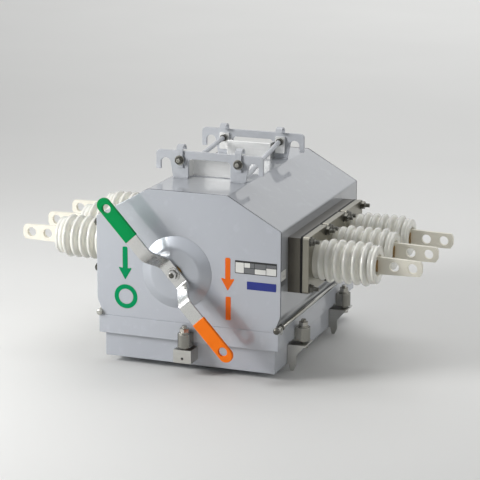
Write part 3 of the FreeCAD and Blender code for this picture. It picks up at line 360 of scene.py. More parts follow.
def add_lathe(bm, points, turn, sides=64):
    """Turns a profile of (distance along, radius) round the local X axis.

    It is turned in a mesh of its own, because spin slows down in a full one.
    """
    turned = bmesh.new()
    verts = [turned.verts.new((along, 0.0, radius)) for along, radius in points]
    edges = [turned.edges.new(pair) for pair in zip(verts, verts[1:])]
    bmesh.ops.spin(turned, geom=verts + edges, cent=(0, 0, 0), axis=(1, 0, 0),
                   angle=math.tau, steps=sides, use_merge=True)
    bmesh.ops.transform(turned, matrix=turn, verts=turned.verts[:])
    carrier = bpy.data.meshes.new("turned")
    turned.to_mesh(carrier)
    turned.free()
    bm.from_mesh(carrier)
    bpy.data.meshes.remove(carrier)


def add_hex(bm, at, axis, radius, height, twist=0.0):
    """A hexagon nut or head with the turned-down corners of a real one."""
    turn = Matrix.Translation(at) @ TURN[axis] @ Matrix.Rotation(twist, 4, "Z")
    round_r = radius * 0.93
    reach, drop = [], []
    for i in range(36):
        inside = (i * 10 + 30) % 60 - 30
        reach.append(radius * math.cos(math.radians(30)) / math.cos(math.radians(inside)))
        drop.append(max(0.0, reach[-1] - round_r) * 0.577)
    rings = [[turn @ Vector((0, 0, 0))]]
    for near_end, at_edge in ((True, False), (True, True), (False, True), (False, False)):
        ring = []
        for i in range(36):
            r = reach[i] if at_edge else min(reach[i], round_r)
            z = drop[i] if at_edge else 0.0
            z = z if near_end else height - z
            a = math.radians(i * 10)
            ring.append(turn @ Vector((r * math.cos(a), r * math.sin(a), z)))
        rings.append(ring)
    rings.append([turn @ Vector((0, 0, height))])
    add_rings(bm, rings)


def add_bolt(bm, at, axis, radius, plain, threaded, both=False):
    """A shank that ends in a thread, with its corner turned down; both ends if asked."""
    pitch = 1.5
    ridges = max(1, int(threaded / pitch))
    thread = []
    for step in range(ridges):
        thread += [(step * pitch, radius), ((step + 0.5) * pitch, radius * 0.87)]
    end = plain + threaded
    far = [(plain + along, r) for along, r in thread] + [(end - 0.6, radius), (end, radius * 0.8)]
    near = [(end - along, r) for along, r in reversed(far)] if both else [(0, radius)]
    points = [(0, 0)] + near + far + [(end, 0)]
    add_lathe(bm, points, Matrix.Translation(at) @ LATHE_TURN[axis], 20)


def add_washer(bm, at, axis, outer, inner, height, sides=32):
    edge = min(0.3, height / 3)
    points = [(0, inner), (0, outer - edge), (edge, outer), (height - edge, outer),
              (height, outer - edge), (height, inner), (0, inner)]
    add_lathe(bm, points, Matrix.Translation(at) @ LATHE_TURN[axis], sides)


def add_plate(bm, outline, holes, lift, turn):
    """A flat plate of any outline with round or shaped holes, lifted to its thickness."""
    edges = []
    for loop in [outline] + holes:
        verts = [bm.verts.new((u, v, 0.0)) for u, v in loop]
        edges += [bm.edges.new((verts[i - 1], verts[i])) for i in range(len(verts))]
    faces = [f for f in bmesh.ops.triangle_fill(
        bm, use_beauty=True, use_dissolve=True, edges=edges)["geom"]
        if isinstance(f, bmesh.types.BMFace)]
    start = {v for f in faces for v in f.verts}
    raised = bmesh.ops.extrude_face_region(bm, geom=faces)["geom"]
    top = [v for v in raised if isinstance(v, bmesh.types.BMVert)]
    bmesh.ops.translate(bm, verts=top, vec=(0, 0, lift))
    bmesh.ops.transform(bm, matrix=turn, verts=list(start) + top)


def circle(u, v, radius, sides=32):
    return [(u + radius * math.cos(math.tau * i / sides), v + radius * math.sin(math.tau * i / sides))
            for i in range(sides)]


def arc(u, v, radius, start, end, sides=10):
    """Points along an arc, angles in degrees."""
    steps = [math.radians(start + (end - start) * i / sides) for i in range(sides + 1)]
    return [(u + radius * math.cos(a), v + radius * math.sin(a)) for a in steps]


def rounded(corners, radii, sides=6):
    """A closed outline whose corners are rounded with their own radii."""
    points = []
    for index, corner in enumerate(corners):
        here = Vector(corner)
        back = (Vector(corners[index - 1]) - here)
        ahead = (Vector(corners[(index + 1) % len(corners)]) - here)
        radius = radii[index] if isinstance(radii, (list, tuple)) else radii
        angle = back.angle(ahead)
        if radius <= 0 or abs(angle - math.pi) < 0.02:
            points.append(tuple(here))
            continue
        reach = radius / math.tan(angle / 2)
        start, end = here + back.normalized() * reach, here + ahead.normalized() * reach
        middle = (back.normalized() + ahead.normalized()).normalized()
        centre = here + middle * (radius / math.sin(angle / 2))
        for step in range(sides + 1):
            blend = (start - centre).lerp(end - centre, step / sides).normalized() * radius
            points.append(tuple(centre + blend))
    return points


def in_plane(origin, across, up):
    """Matrix that lays a flat drawing (u, v, lift) on the plane given by two directions."""
    across, up = Vector(across).normalized(), Vector(up).normalized()
    normal = across.cross(up)
    rows = [(across[i], up[i], normal[i], origin[i]) for i in range(3)]
    return Matrix(rows + [(0, 0, 0, 1)])


def finish_piece(name, bm, mat, body="case", nodes=(), bevel=0.0, segments=2, smooth=35):
    """Turns a bmesh in millimetres into a piece in metres that rides on a body."""
    bmesh.ops.remove_doubles(bm, verts=bm.verts[:], dist=0.002)
    bmesh.ops.recalc_face_normals(bm, faces=bm.faces[:])
    bmesh.ops.transform(bm, matrix=Matrix.Diagonal((MM, MM, MM, 1.0)), verts=bm.verts[:])
    mesh = bpy.data.meshes.new(name)
    bm.to_mesh(mesh)
    bm.free()
    dress(name, mesh, mat, body, nodes, bevel, segments, smooth)


def dress(name, mesh, mat, body, nodes, bevel, segments, smooth):
    """Breaks a mesh's edges and rides it on a body, in place of the nodes named."""
    piece = bpy.data.objects.new(name, mesh)
    bpy.context.scene.collection.objects.link(piece)
    mesh.materials.clear()
    mesh.materials.append(mat)
    mesh.shade_smooth()
    mesh.set_sharp_from_angle(angle=math.radians(smooth))
    if bevel:
        edge = piece.modifiers.new("edge", "BEVEL")
        edge.width = bevel * MM
        edge.segments = segments
        edge.limit_method = "ANGLE"
        edge.angle_limit = math.radians(28)
        edge.harden_normals = True
        edge.miter_outer = "MITER_ARC"
    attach(piece, body)
    if nodes:
        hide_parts(*nodes)


def soften(node, mat, bevel, segments=2):
    """A merged copy of a CAD node with its edges broken, in place of the node."""
    source = frame["nodes"][node]
    bm = bmesh.new()
    bm.from_mesh(source.data)
    bmesh.ops.remove_doubles(bm, verts=bm.verts[:], dist=0.00001)
    bmesh.ops.dissolve_limit(bm, angle_limit=math.radians(0.5), verts=bm.verts[:],
                             edges=bm.edges[:])
    mesh = bpy.data.meshes.new(f"{node}_skin")
    bm.to_mesh(mesh)
    bm.free()
    dress(f"{node}_skin", mesh, mat, "case", (node,), bevel, segments, 35)


def coat(node, mat):
    """Gives a CAD node its material."""
    mesh = frame["nodes"][node].data
    mesh.materials.clear()
    mesh.materials.append(mat)
    for polygon in mesh.polygons:
        polygon.material_index = 0


# Case

def gable_outline(grow=0.0):
    """The case's outline seen from the front, enlarged by a given amount."""
    right = [(x + grow, z + (grow if z > 300 else 0)) for x, z in GABLE]
    left = [(-x, z) for x, z in reversed(right)]
    return rounded(right + left, [0, 0, 28, 5, 8, 8, 5, 28, 0, 0], 10)


def end_panels():
    """Front and rear gable panels with a softly rolled edge, and a dark strip behind each as painted
    shade in the seam.
    """
    turn_front = in_plane((0, PANEL_Y + SHEET, 0), *PANEL_UP)
    turn_rear = in_plane((0, HALF_DEPTH, 0), *PANEL_UP)
    for name, turn, hole in (("front_panel", turn_front, [circle(HUB.x, HUB.z, 14)]),
                             ("rear_panel", turn_rear, [])):
        bm = bmesh.new()
        add_plate(bm, gable_outline(), hole, SHEET, turn)
        finish_piece(f"{name}_sheet", bm, CASE_PAINT, nodes=(name,), bevel=0.8, segments=3)
    # painted shade: a dark strip peeks out round each panel's edge
    for name, y in (("front_seam", PANEL_Y + SHEET + 0.5),
                    ("rear_seam", HALF_DEPTH - SHEET + 0.4)):
        bm = bmesh.new()
        outer = gable_outline(0.35)
        inner = [(x * 0.985, 94 + (z - 94) * 0.985) for x, z in gable_outline()]
        add_plate(bm, outer, [inner], 0.9, in_plane((0, y, 0), *PANEL_UP))
        finish_piece(name, bm, SEAM_SHADE, bevel=0.2)


def boss():
    """Pressed dish: a coned ring that rolls over into a flat face, open for the bush."""
    rim, face, height, sheet = 68.0, 49.0, 11.0, 2.0
    slope = (rim - face) / height
    outside = [(0.0, rim), (0.5, rim - 0.2), (1.4, rim - 1.6), (3.0, rim - 3.0 * slope - 0.3)]
    outside += [(height - 2.2, face + 2.2 * slope), (height - 1.0, face + 0.6),
                (height - 0.25, face - 1.8), (height, face - 4.0), (height, 18.0),
                (height - 0.4, 15.2), (height - 1.2, 14.2)]
    inside = [(height - sheet, 14.2), (height - sheet, face - 4.0), (2.0, rim - 7.0),
              (0.0, rim - 3.0), (0.0, rim)]
    bm = bmesh.new()
    turn = Matrix.Translation((HUB.x, PANEL_Y, HUB.z)) @ Matrix.Rotation(math.radians(-90), 4, "Z")
    add_lathe(bm, outside + inside, turn, 128)
    finish_piece("pressed_boss", bm, BOSS_PAINT, nodes=("front_boss",), smooth=32)


def case_body():
    # painted shade: the hood wrap takes the darkened enamel
    soften("hood_wrap", ROOF_SHADED_PAINT, bevel=0.6)
    end_panels()
    boss()
    soften("skirt", CASE_PAINT, bevel=1.0, segments=3)
    soften("bottom_tray", CASE_PAINT, bevel=1.4, segments=3)
    for node in ("tray_seal", "flange_gaskets_right", "flange_gaskets_left"):
        coat(node, RUBBER)
    coat("front_bush", BRONZE)


# Bushings

def bushing_profile(sign):
    """Distance from the gasket's face outward, and radius."""
    tail = MOUNT_FACE[sign] + GASKET - TAIL_INNER_END
    saving = NECK_SAVING[sign]
    points = [(-tail, 8.3), (-tail, 19), (-tail + 2, 21), (-7, 26), (0, 26), (0, 42), (7.4, 42),
              (7.4, 35), (FLANGE_THICK, 35)]
    if not saving:
        points += [(20.2, 35), (21.4, 36.4), (22.8, 37.2), (25.4, 37.2), (26.8, 36.2)]
    first = FLANGE_THICK + SHED_FIRST - saving
    shed = [(-7.0, 31.5), (-5.9, 32.6), (-5.1, 34.8), (-4.4, 37.4), (-3.2, 39.4), (-1.7, 40.3),
            (0.0, 40.5), (1.7, 40.2), (3.1, 39.2), (4.2, 37.2), (4.9, 34.8), (5.8, 32.6),
            (7.0, 31.4), (8.3, 31.0)]
    for count in range(SHED_COUNT):
        points += [(first + SHED_PITCH * count + along, radius) for along, radius in shed]
    end = FLANGE_THICK + PORCELAIN_END - saving
    points += [(end - along, radius) for along, radius in
               ((15.6, 31.1), (14.8, 32.4), (14.0, 34.2), (13.0, 35.0), (8.2, 35.0), (7.4, 34.4),
                (6.6, 34.0), (5.8, 34.4), (5.0, 35.0), (1.6, 35.0), (0.5, 34.4), (0.0, 33.0),
                (0.0, 22.0), (0.5, 20.8), (1.4, 20.1), (7.0, 20.0), (7.0, 8.3))]
    return points + [(-tail, 8.3)]


def outward_turn(sign, x, y):
    """Matrix from a piece drawn along +X to its place on the right or left side."""
    turn = Matrix.Translation((x * sign, y, AXIS_Z))
    return turn if sign > 0 else turn @ Matrix.Rotation(math.pi, 4, "Z")


def bushings():
    for side, sign in SIDES:
        profile = bushing_profile(sign)
        for phase, y in PHASES:
            bm = bmesh.new()
            add_lathe(bm, profile, outward_turn(sign, MOUNT_FACE[sign] + GASKET, y), 80)
            node = f"bushing_{side}_{phase}"
            finish_piece(f"{node}_glazed", bm, PORCELAIN, nodes=(node,), smooth=50)


def terminals():
    """Flat bar with two holes and its conductor, and the gland nut in the recess."""
    for side, sign in SIDES:
        tip = TERMINAL_TIP[sign]
        start = tip - TERMINAL_LENGTH
        upper = rounded([(start, 16.0), (tip - 4.0, 14.0), (tip, 7.0), (tip, -7.0),
                         (tip - 4.0, -14.0), (start, -16.0)], [0, 2.5, 4, 4, 2.5, 0], 5)
        holes = [circle(tip - back, 0, TERMINAL_HOLE_R, 40) for back in TERMINAL_HOLES]
        nuts = bmesh.new()
        for phase, y in PHASES:
            bm = bmesh.new()
            turn = in_plane((0, y + 4, AXIS_Z), (sign, 0, 0), (0, 0, 1))
            add_plate(bm, upper, holes, 8 * sign, turn)
            rod = outward_turn(sign, CONTACT_X, y)
            length = start + 3 - CONTACT_X
            add_lathe(bm, [(0, 0), (0, 8), (length, 8), (length, 0)], rod, 32)
            node = f"terminal_{side}_{phase}"
            finish_piece(f"{node}_bar", bm, TINNED, nodes=(node,), bevel=0.9, segments=3)
            face = start - 2.0
            nut_start = face if sign > 0 else -face - 6.0
            add_hex(nuts, (nut_start, y, AXIS_Z), "X", 13.0, 6.0, 0.3)
        finish_piece(f"gland_nuts_{side}", nuts, BRASS)


def flanges():
    """Square flanges with rounded corners, and the frame that carries the right ones."""
    outline = rounded([(-FLANGE_HALF_Y, -FLANGE_HALF_Z), (FLANGE_HALF_Y, -FLANGE_HALF_Z),
                       (FLANGE_HALF_Y, FLANGE_HALF_Z), (-FLANGE_HALF_Y, FLANGE_HALF_Z)], 6.0)
    for side, sign in SIDES:
        bm = bmesh.new()
        face = (MOUNT_FACE[sign] + GASKET) * sign
        for _, y in PHASES:
            turn = in_plane((face, y, AXIS_Z), (0, sign, 0), (0, 0, 1))
            add_plate(bm, outline, [circle(0, 0, 35.3, 72)], FLANGE_THICK, turn)
        finish_piece(f"flange_plates_{side}", bm, FLANGE_STEEL, nodes=(f"flanges_{side}",),
                     bevel=2.0, segments=3)
    # painted shade: the frame takes the darkened stainless
    soften("bushing_frame", FRAME_SHADED_STEEL, bevel=1.6, segments=3)
    flange_gap_shade()


def flange_gap_shade():
    """Dark strips in the narrow gaps between neighbouring flanges: painted shade in the gaps."""
    bm = bmesh.new()
    strip = [(-0.6, -FLANGE_HALF_Z + 0.5), (0.6, -FLANGE_HALF_Z + 0.5),
             (0.6, FLANGE_HALF_Z - 0.5), (-0.6, FLANGE_HALF_Z - 0.5)]
    for _, sign in SIDES:
        face = (MOUNT_FACE[sign] + GASKET) * sign
        for (_, near), (_, far) in zip(PHASES, PHASES[1:]):
            turn = in_plane((face, (near + far) / 2, AXIS_Z), (0, sign, 0), (0, 0, 1))
            add_plate(bm, strip, [], FLANGE_THICK - 1.0, turn)
    # painted shade: the gap strips are black rubber
    finish_piece("flange_gap_shade_strips", bm, RUBBER)


def flange_studs():
    """Long studs with a washer and nut at each corner of each flange."""
    for side, sign in SIDES:
        face = MOUNT_FACE[sign] + GASKET + FLANGE_THICK
        stud = STUD_LENGTH[sign]
        bm = bmesh.new()
        for _, y in PHASES:
            for dy in (-1, 1):
                for dz in (-1, 1):
                    at_y = y + dy * (FLANGE_HALF_Y - STUD_INSET)
                    at_z = AXIS_Z + dz * (FLANGE_HALF_Z - STUD_INSET)
                    studs = [(MOUNT_FACE[sign] - 3, stud), (face, 1.4), (face + 1.4, 6.0)]
                    low = [x if sign > 0 else -x - length for x, length in studs]
                    add_bolt(bm, (low[0], at_y, at_z), "X", 4.0, 6.0, stud - 6.0, True)
                    add_washer(bm, (low[1], at_y, at_z), "X", 9.0, 4.0, 1.4)
                    add_hex(bm, (low[2], at_y, at_z), "X", 7.8, 6.0, dy * 0.3 + dz * 0.2)
        finish_piece(f"stud_set_{side}", bm, DARK_FIXING, nodes=(f"flange_studs_{side}",))


# Handle

def bar_frame():
    """Matrix from (along the bar, across it, outward) to the switch."""
    rows = [(ALONG[i], ACROSS[i], OUTWARD[i], (HUB + OUTWARD * BAR_BACK)[i]) for i in range(3)]
    return Matrix(rows + [(0, 0, 0, 1)])


def bent_place(u, lift):
    """Where a point of the flat bar lies after bending, keeping the bar's thickness."""
    seat, bend, blend = 28.0, 55.0, 6.0
    slope = ARM_STAND / (bend - seat)
    sign, run = (1 if u >= 0 else -1), abs(u)
    if run <= seat - blend:
        height, steep = 0.0, 0.0
    elif run < seat + blend:
        steep = slope * (run - seat + blend) / (2 * blend)
        height = steep * (run - seat + blend) / 2
    elif run <= bend - blend:
        height, steep = slope * (run - seat), slope
    elif run < bend + blend:
        steep = slope * (bend + blend - run) / (2 * blend)
        height = ARM_STAND - steep * (bend + blend - run) / 2
    else:
        height, steep = ARM_STAND, 0.0
    lean = math.atan(steep)
    return sign * (run - lift * math.sin(lean)), height + lift * math.cos(lean)


def strip_outline(start, end, half, both):
    cap = arc(end, 0, half, 90, -90, 24)
    if both:
        tail = arc(-end, 0, half, 270, 90, 24)
        return cap + tail
    return cap + [(start, -half), (start, half)]


def handle_bar():
    """One flat bar cut to outline, sliced across, and bent out at both ends."""
    bm = bmesh.new()
    outline = strip_outline(-ARM_CAP_AT, ARM_CAP_AT, BAR_HALF, True)
    holes = [circle(GRIP_HOLE_AT, 0, 8.5), circle(-GRIP_HOLE_AT, 0, 8.5), circle(0, 0, 6.0)]
    add_plate(bm, outline, holes, BAR_THICK, Matrix.Identity(4))
    for sign in (1, -1):
        for step in range(19):
            u = sign * (20 + step * 2.4)
            bmesh.ops.bisect_plane(bm, geom=bm.verts[:] + bm.edges[:] + bm.faces[:],
                                   plane_co=(u, 0, 0), plane_no=(1, 0, 0))
    for vert in bm.verts:
        vert.co.x, vert.co.z = bent_place(vert.co.x, vert.co.z)
    bmesh.ops.transform(bm, matrix=bar_frame(), verts=bm.verts[:])
    finish_piece("handle_bent_bar", bm, BAR_STEEL, "handle", ("handle_bar",), bevel=0.8,
                 segments=2, smooth=25)


def grips():
    """Dipped plastic sleeves on both arms, each with its hole."""
    for name, mat, sign in (("off_grip", GREEN, 1), ("on_grip", ORANGE, -1)):
        bm = bmesh.new()
        outline = strip_outline(GRIP_START, ARM_CAP_AT, BAR_HALF + 1.0, False)
        shell = [(u * sign, v) for u, v in outline]
        holes = [circle(GRIP_HOLE_AT * sign, 0, 8.3)]
        lay = bar_frame() @ Matrix.Translation((0, 0, ARM_STAND - 1.0))
        add_plate(bm, shell, holes, BAR_THICK + 2.0, lay)
        finish_piece(f"{name}_sleeve", bm, mat, "handle", (name,), bevel=1.2, segments=3)


def hub_bolt():
    """Washer, spring washer, chamfered head and the end of the shaft's thread."""
    front = PANEL_Y - 12 - BAR_THICK
    rings, head = bmesh.new(), bmesh.new()
    add_washer(rings, (HUB.x, front - 2.5, HUB.z), "Y", 12.5, 5.0, 2.5, 48)
    add_washer(head, (HUB.x, front - 4.3, HUB.z), "Y", 8.8, 5.0, 1.8, 40)
    add_hex(rings, (HUB.x, front - 9.3, HUB.z), "Y", 9.4, 5.0, 0.2)
    add_bolt(head, (HUB.x, front - 10.5, HUB.z), "Y", 5.0, 6.0, 24.0, True)
    finish_piece("hub_nut_and_washer", rings, BAR_STEEL, "handle", ("handle_bolt",))
    finish_piece("hub_thread_and_spring", head, DARK_FIXING, "handle")
    coat("drive_shaft", BAR_STEEL)


# Marks on the front panel and the right wall

def mark(name, outline, mat, lift=0.35, holes=()):
    """A thin painted shape on the front panel, drawn in x and z."""
    bm = bmesh.new()
    turn = in_plane((0, PANEL_Y + MARK_SHIFT, 0), *PANEL_UP)
    add_plate(bm, outline, list(holes), lift, turn)
    finish_piece(name, bm, mat)


def arrow(name, x, top, bottom, mat, half=5.0, head=14.0, head_height=22.0):
    neck = bottom + head_height
    outline = rounded([(x + half, top), (x + half, neck), (x + head, neck + 2), (x, bottom),
                       (x - head, neck + 2), (x - half, neck), (x - half, top)],
                      [3, 0, 1.5, 0.8, 1.5, 0, 3], 4)
    mark(name, outline, mat)


def ring_mark(name, x, z, radius, width, mat):
    mark(name, circle(x, z, radius, 48), mat, holes=[circle(x, z, radius - width, 48)])


def bar_mark(name, x, z, half_width, half_height, mat):
    outline = rounded([(x - half_width, z - half_height), (x + half_width, z - half_height),
                       (x + half_width, z + half_height), (x - half_width, z + half_height)],
                      2.0, 4)
    mark(name, outline, mat)


def panel_marks():
    """Arrows with the plain off circle and on bar, the bare labels, and a pale patch above a grey
    patch on the right wall.
    """
    arrow("off_arrow", -123, 228, 165, GREEN_INK)
    ring_mark("off_mark", -122, 133, 23, 8.5, GREEN_INK)
    arrow("on_arrow", 79, 226, 164, ORANGE_INK)
    bar_mark("on_mark", 80, 131, 5.0, 22, ORANGE_INK)
    plate_corners = [(93, 199), (173, 199), (173, 223), (93, 223)]
    mark("nameplate_border", rounded(plate_corners, 1.0, 3), PLATE_BORDER, 0.3)
    lay = in_plane((0, PANEL_Y + MARK_SHIFT, 0), *PANEL_UP)
    for tone, mat, fields in (
        ("pale", BLANK_PLATE, ((94.2, 110.0, 200.4, 219.5), (111.0, 122.0, 211.0, 219.5),
                               (131.0, 152.0, 200.4, 209.5), (153.0, 171.8, 200.4, 213.0))),
        ("grey", GREY_PLATE, ((111.0, 130.0, 200.4, 210.0), (123.0, 130.0, 211.0, 219.5),
                              (131.0, 152.0, 210.5, 219.5), (153.0, 171.8, 214.0, 219.5))),
    ):
        cells = bmesh.new()
        for left, right, low, high in fields:
            corners = [(left, low), (right, low), (right, high), (left, high)]
            add_plate(cells, rounded(corners, 0.5, 2), [], 0.5, lay)
        finish_piece(f"nameplate_{tone}_fields", cells, mat)
    label = [(116, 170.5), (172, 170.5), (172, 185.5), (116, 185.5)]
    mark("blue_label", rounded(label, 1.0, 3), BLUE_LABEL, 0.35)
    wall = in_plane((HALF_WIDTH + MARK_SHIFT, 0, 0), (0, 1, 0), (0, 0, 1))
    # a pale patch above a grey patch on the right wall
    for name, mat, low, high in (
        ("side_wall_pale_patch", BLANK_PLATE, (-228, 190.5), (-201, 208)),
        ("side_wall_grey_patch", GREY_PLATE, (-226, 180), (-204, 190)),
    ):
        wall_patch = bmesh.new()
        corners = [low, (high[0], low[1]), high, (low[0], high[1])]
        add_plate(wall_patch, rounded(corners, 1.0, 3), [], 0.35, wall)
        finish_piece(name, wall_patch, mat)


# Hanger

def clip_bolts():
    """Bolt with its nuts and washers at each leg, and the square pads behind them."""
    pads, bm, nuts = bmesh.new(), bmesh.new(), bmesh.new()
    for side in (-1, 1):
        for x in (-CLIP_X, CLIP_X):
            inner = side * (HANGER_Y - HANGER_HALF_THICK)
            corners = [(x - 10, PAD_LOW), (x + 10, PAD_LOW), (x + 10, PAD_HIGH),
                       (x - 10, PAD_HIGH)]
            lay = in_plane((0, inner, 0), *PANEL_UP)
            add_plate(pads, rounded(corners, 2.5, 4), [circle(x, CLIP_BOLT_Z, 4, 24)],
                      4.0 * side, lay)
            ends = sorted((side * (HANGER_Y - 15.5), side * (HANGER_Y + 14.5)))
            add_bolt(bm, (x, ends[0], CLIP_BOLT_Z), "Y", 4.0, 6.0, ends[1] - ends[0] - 6.0, True)
            for low, height in ((HANGER_Y + 7.0, 5.5), (HANGER_Y - 13.0, 6.0)):
                start = low if side > 0 else -low - height
                add_hex(nuts, (x, start, CLIP_BOLT_Z), "Y", 7.5, height, 0.25)
            start = HANGER_Y + 6.0 if side > 0 else -HANGER_Y - 7.0
            add_washer(bm, (x, start, CLIP_BOLT_Z), "Y", 9.4, 4.0, 1.0)
    # the pads share the brightened stainless of the painted strap highlight
    finish_piece("hanger_pads", pads, STRAP_LIT_STEEL, nodes=("hanger_bolts",), bevel=0.4)
    finish_piece("clip_bolt_set", bm, FIXING_STEEL)
    finish_piece("clip_nut_set", nuts, DARK_FIXING)


def weld_beads():
    """Fillet welds along the feet of the hanger plates, laid in short ripples."""
    bm = bmesh.new()
    for side in (-1, 1):
        for way in (-1, 1):
            for face in (-1, 1):
                y = side * HANGER_Y + face * HANGER_HALF_THICK
                rings = []
                for step in range(61):
                    x = way * (42.5 + 29.0 * step / 60)
                    swell = 2.4 + 0.35 * math.sin(step * 1.9)
                    if step in (0, 60):
                        swell = 0.6
                    rings.append([Vector((x, y - face * 0.6, ROOF_Z - 0.4)),
                                  Vector((x, y - face * 0.6, ROOF_Z + swell)),
                                  Vector((x, y + face * swell * 0.6, ROOF_Z + swell * 0.55)),
                                  Vector((x, y + face * swell, ROOF_Z - 0.4))])
                rings = [[rings[0][0]]] + rings + [[rings[-1][0]]]
                add_rings(bm, rings)
    finish_piece("hanger_welds", bm, HANGER_PAINT, smooth=60)


def hanger():
    for node in ("hanger_plate_front", "hanger_plate_rear"):
        soften(node, HANGER_PAINT, bevel=1.0, segments=3)
    # painted highlight: the straps take the brightened stainless
    soften("hanger_straps", STRAP_LIT_STEEL, bevel=0.8)
    soften("hook_clips", HANGER_PAINT, bevel=1.0, segments=3)
    coat("hanger_stays", HANGER_PAINT)
    clip_bolts()
    weld_beads()


# Side rods and clamps

def add_ring(bm, at, radius, wire):
    """A closed wire ring standing across the X axis."""
    section = [(across, radius + out) for out, across in circle(0, 0, wire, 8)]
    add_lathe(bm, section + section[:1], Matrix.Translation(at), 32)


def side_rods():
    """Rods in the grooves, threaded at the front, with a domed nut, washers and a ring."""
    bm, nuts = bmesh.new(), bmesh.new()
    knob = [(0, 0), (0, 2.6), (0.7, 4.6), (2.0, 5.8), (3.4, 6.2), (5.0, 6.2), (6.0, 5.6), (6.0, 0)]
    for side in (1, -1):
        x, z = SIDE_ROD[0] * side, SIDE_ROD[1]
        add_bolt(bm, (x, -234, z), "Y", 4.0, 402.0, 30.0, True)
        add_washer(bm, (x, -231, z), "Y", 6.4, 4.0, 1.6)
        add_washer(bm, (x, -219, z), "Y", 6.4, 4.0, 1.4)
        add_washer(bm, (x, -206, z), "Y", 6.4, 4.0, 1.4)
        add_ring(bm, (x + 6.0 * side, -222.0, z - 4.0), 4.2, 0.9)
        turn = Matrix.Translation((x, -237, z)) @ LATHE_TURN["Y"]
        add_lathe(nuts if side > 0 else bm, knob, turn, 32)
        add_hex(nuts, (x, -217.4, z), "Y", 6.6, 5.0, 0.2)
        add_hex(nuts, (x, -211.4, z), "Y", 6.6, 5.0, 0.5)
    finish_piece("side_rod_set", bm, ROD_STEEL, nodes=("side_rods",), smooth=40)
    finish_piece("side_rod_nuts", nuts, DARK_FIXING, smooth=40)


def clamp_bolts():
    """Each clamp's bolt from below, with washers and a chamfered nut on the lug."""
    bm = bmesh.new()
    for angle, at in CLAMPS:
        spot = Matrix.Translation((at[0], at[1], 0)) @ Matrix.Rotation(math.radians(angle), 4, "Z")
        x, y, _ = spot @ Vector((CLAMP_REACH, 0, 0))
        add_hex(bm, (x, y, 39.0), "Z", 9.2, 8.0, 0.4 + angle)
        add_washer(bm, (x, y, 79.0), "Z", 10.5, 5.0, 1.5)
        add_washer(bm, (x, y, 80.5), "Z", 8.6, 5.0, 1.4)
        add_hex(bm, (x, y, 81.9), "Z", 9.2, 7.1, 0.2 + angle)
        add_bolt(bm, (x, y, 47.0), "Z", 5.0, 30.0, 17.0)
    finish_piece("clamp_bolt_set", bm, FIXING_STEEL, nodes=("clamp_bolts",))


def drain_hole_shade():
    """Dark discs set back in the drain holes of the two folded brackets: painted shade in the holes.
    """
    bm = bmesh.new()
    for y in DRAIN_SHADE_Y:
        add_rod(bm, (0, y, DRAIN_SHADE_Z), "Y", 2.5, 0.5, 20)
    finish_piece("drain_hole_shade", bm, RUBBER)


def clamps():
    soften("clamp_lugs", LUG_STEEL, bevel=1.0, segments=3)
    clamp_bolts()
    soften("side_brackets", SHELF_STEEL, bevel=0.7)
    soften("end_brackets", SHELF_STEEL, bevel=0.8)
    drain_hole_shade()


# Inner parts keep their CAD shape

def plain_nodes():
    for node in ("bearing_plate_front", "bearing_plate_rear", "drive_crank", "drive_link",
                 "rotor_crank"):
        coat(node, ZINC)
    for node in ("rotor_shaft", "blade_carriers", "arc_chutes", "phase_barriers"):
        coat(node, BOARD)
    for node in ("moving_blades", "fixed_contacts"):
        coat(node, COPPER)


# Stage

def floor():
    colour = srgb("E4E4E2")
    mat, tree, shader = material("studio_floor", colour, 0.6)
    tone = ramp(tree, noise(tree, 1.2, 2.0), shade(colour, 0.985), shade(colour, 1.01))
    tree.links.new(tone, shader.inputs["Base Color"])
    bpy.ops.mesh.primitive_plane_add(size=60, location=(0, 0, 0))
    plane = bpy.context.object
    plane.name = "studio_floor"
    plane.data.materials.append(mat)


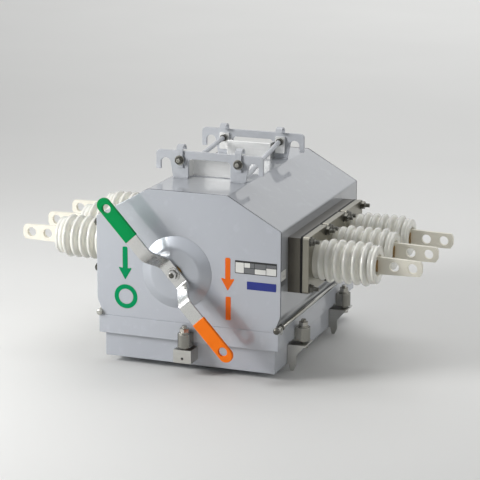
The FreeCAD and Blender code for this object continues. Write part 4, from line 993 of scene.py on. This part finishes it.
def world():
    """Dim fill, a brighter overhead for what shines, and a white background for the camera."""
    scene = bpy.context.scene
    scene.world = scene.world or bpy.data.worlds.new("studio")
    scene.world.use_nodes = True
    tree = scene.world.node_tree
    shader = tree.nodes["Background"]
    coords = tree.nodes.new("ShaderNodeTexCoord")
    split = tree.nodes.new("ShaderNodeSeparateXYZ")
    tree.links.new(coords.outputs["Generated"], split.inputs["Vector"])
    gleam = tree.nodes.new("ShaderNodeMapRange")
    gleam.inputs["From Min"].default_value = 0.0
    gleam.inputs["From Max"].default_value = 0.3
    gleam.inputs["To Min"].default_value = 0.4
    gleam.inputs["To Max"].default_value = 1.0
    tree.links.new(split.outputs["Z"], gleam.inputs["Value"])
    path = tree.nodes.new("ShaderNodeLightPath")
    shining = tree.nodes.new("ShaderNodeMix")
    shining.inputs["A"].default_value = 0.13
    tree.links.new(path.outputs["Is Glossy Ray"], shining.inputs["Factor"])
    tree.links.new(gleam.outputs["Result"], shining.inputs["B"])
    level = tree.nodes.new("ShaderNodeMix")
    level.inputs["B"].default_value = 1.0
    tree.links.new(path.outputs["Is Camera Ray"], level.inputs["Factor"])
    tree.links.new(shining.outputs["Result"], level.inputs["A"])
    shader.inputs["Color"].default_value = (0.98, 0.99, 1.0, 1.0)
    tree.links.new(level.outputs["Result"], shader.inputs["Strength"])


def lamp(name, at, to, power, size, mirrored=True):
    data = bpy.data.lights.new(name, "AREA")
    data.energy = power
    data.size = size
    lamp_object = bpy.data.objects.new(name, data)
    bpy.context.scene.collection.objects.link(lamp_object)
    lamp_object.location = at
    lamp_object.visible_glossy = mirrored
    lamp_object.rotation_euler = (Vector(to) - Vector(at)).to_track_quat("-Z", "Y").to_euler()


def lights():
    world()
    lamp("key_lamp", (-1.4, -1.2, 0.95), (0, -0.2, 0.2), 33, 0.65)
    lamp("top_lamp", (0.0, 0.5, 2.6), (0, 0, 0.2), 19, 1.6)
    lamp("side_lamp", (2.3, 0.8, 1.2), (0.2, 0, 0.2), 11, 1.0)
    lamp("floor_lamp", (0.0, 6.0, 3.5), (0, 6.0, 0), 220, 7.0, mirrored=False)


def camera():
    scene = bpy.context.scene
    data = bpy.data.cameras.new("view")
    data.sensor_fit = "HORIZONTAL"
    data.sensor_width = 36.0
    data.angle = math.radians(CAMERA_FOV)
    data.clip_end = 100
    view = bpy.data.objects.new("view", data)
    scene.collection.objects.link(view)
    towards = Vector(CAMERA_TO) - Vector(CAMERA_AT)
    turn = towards.to_track_quat("-Z", "Y").to_matrix().to_4x4()
    roll = Matrix.Rotation(math.radians(CAMERA_ROLL), 4, "Z")
    view.matrix_world = Matrix.Translation(CAMERA_AT) @ turn @ roll
    scene.camera = view


case_body()
bushings()
terminals()
flanges()
flange_studs()
handle_bar()
grips()
hub_bolt()
panel_marks()
hanger()
side_rods()
clamps()
plain_nodes()
floor()
lights()
camera()
bpy.context.scene.view_settings.view_transform = "Standard"
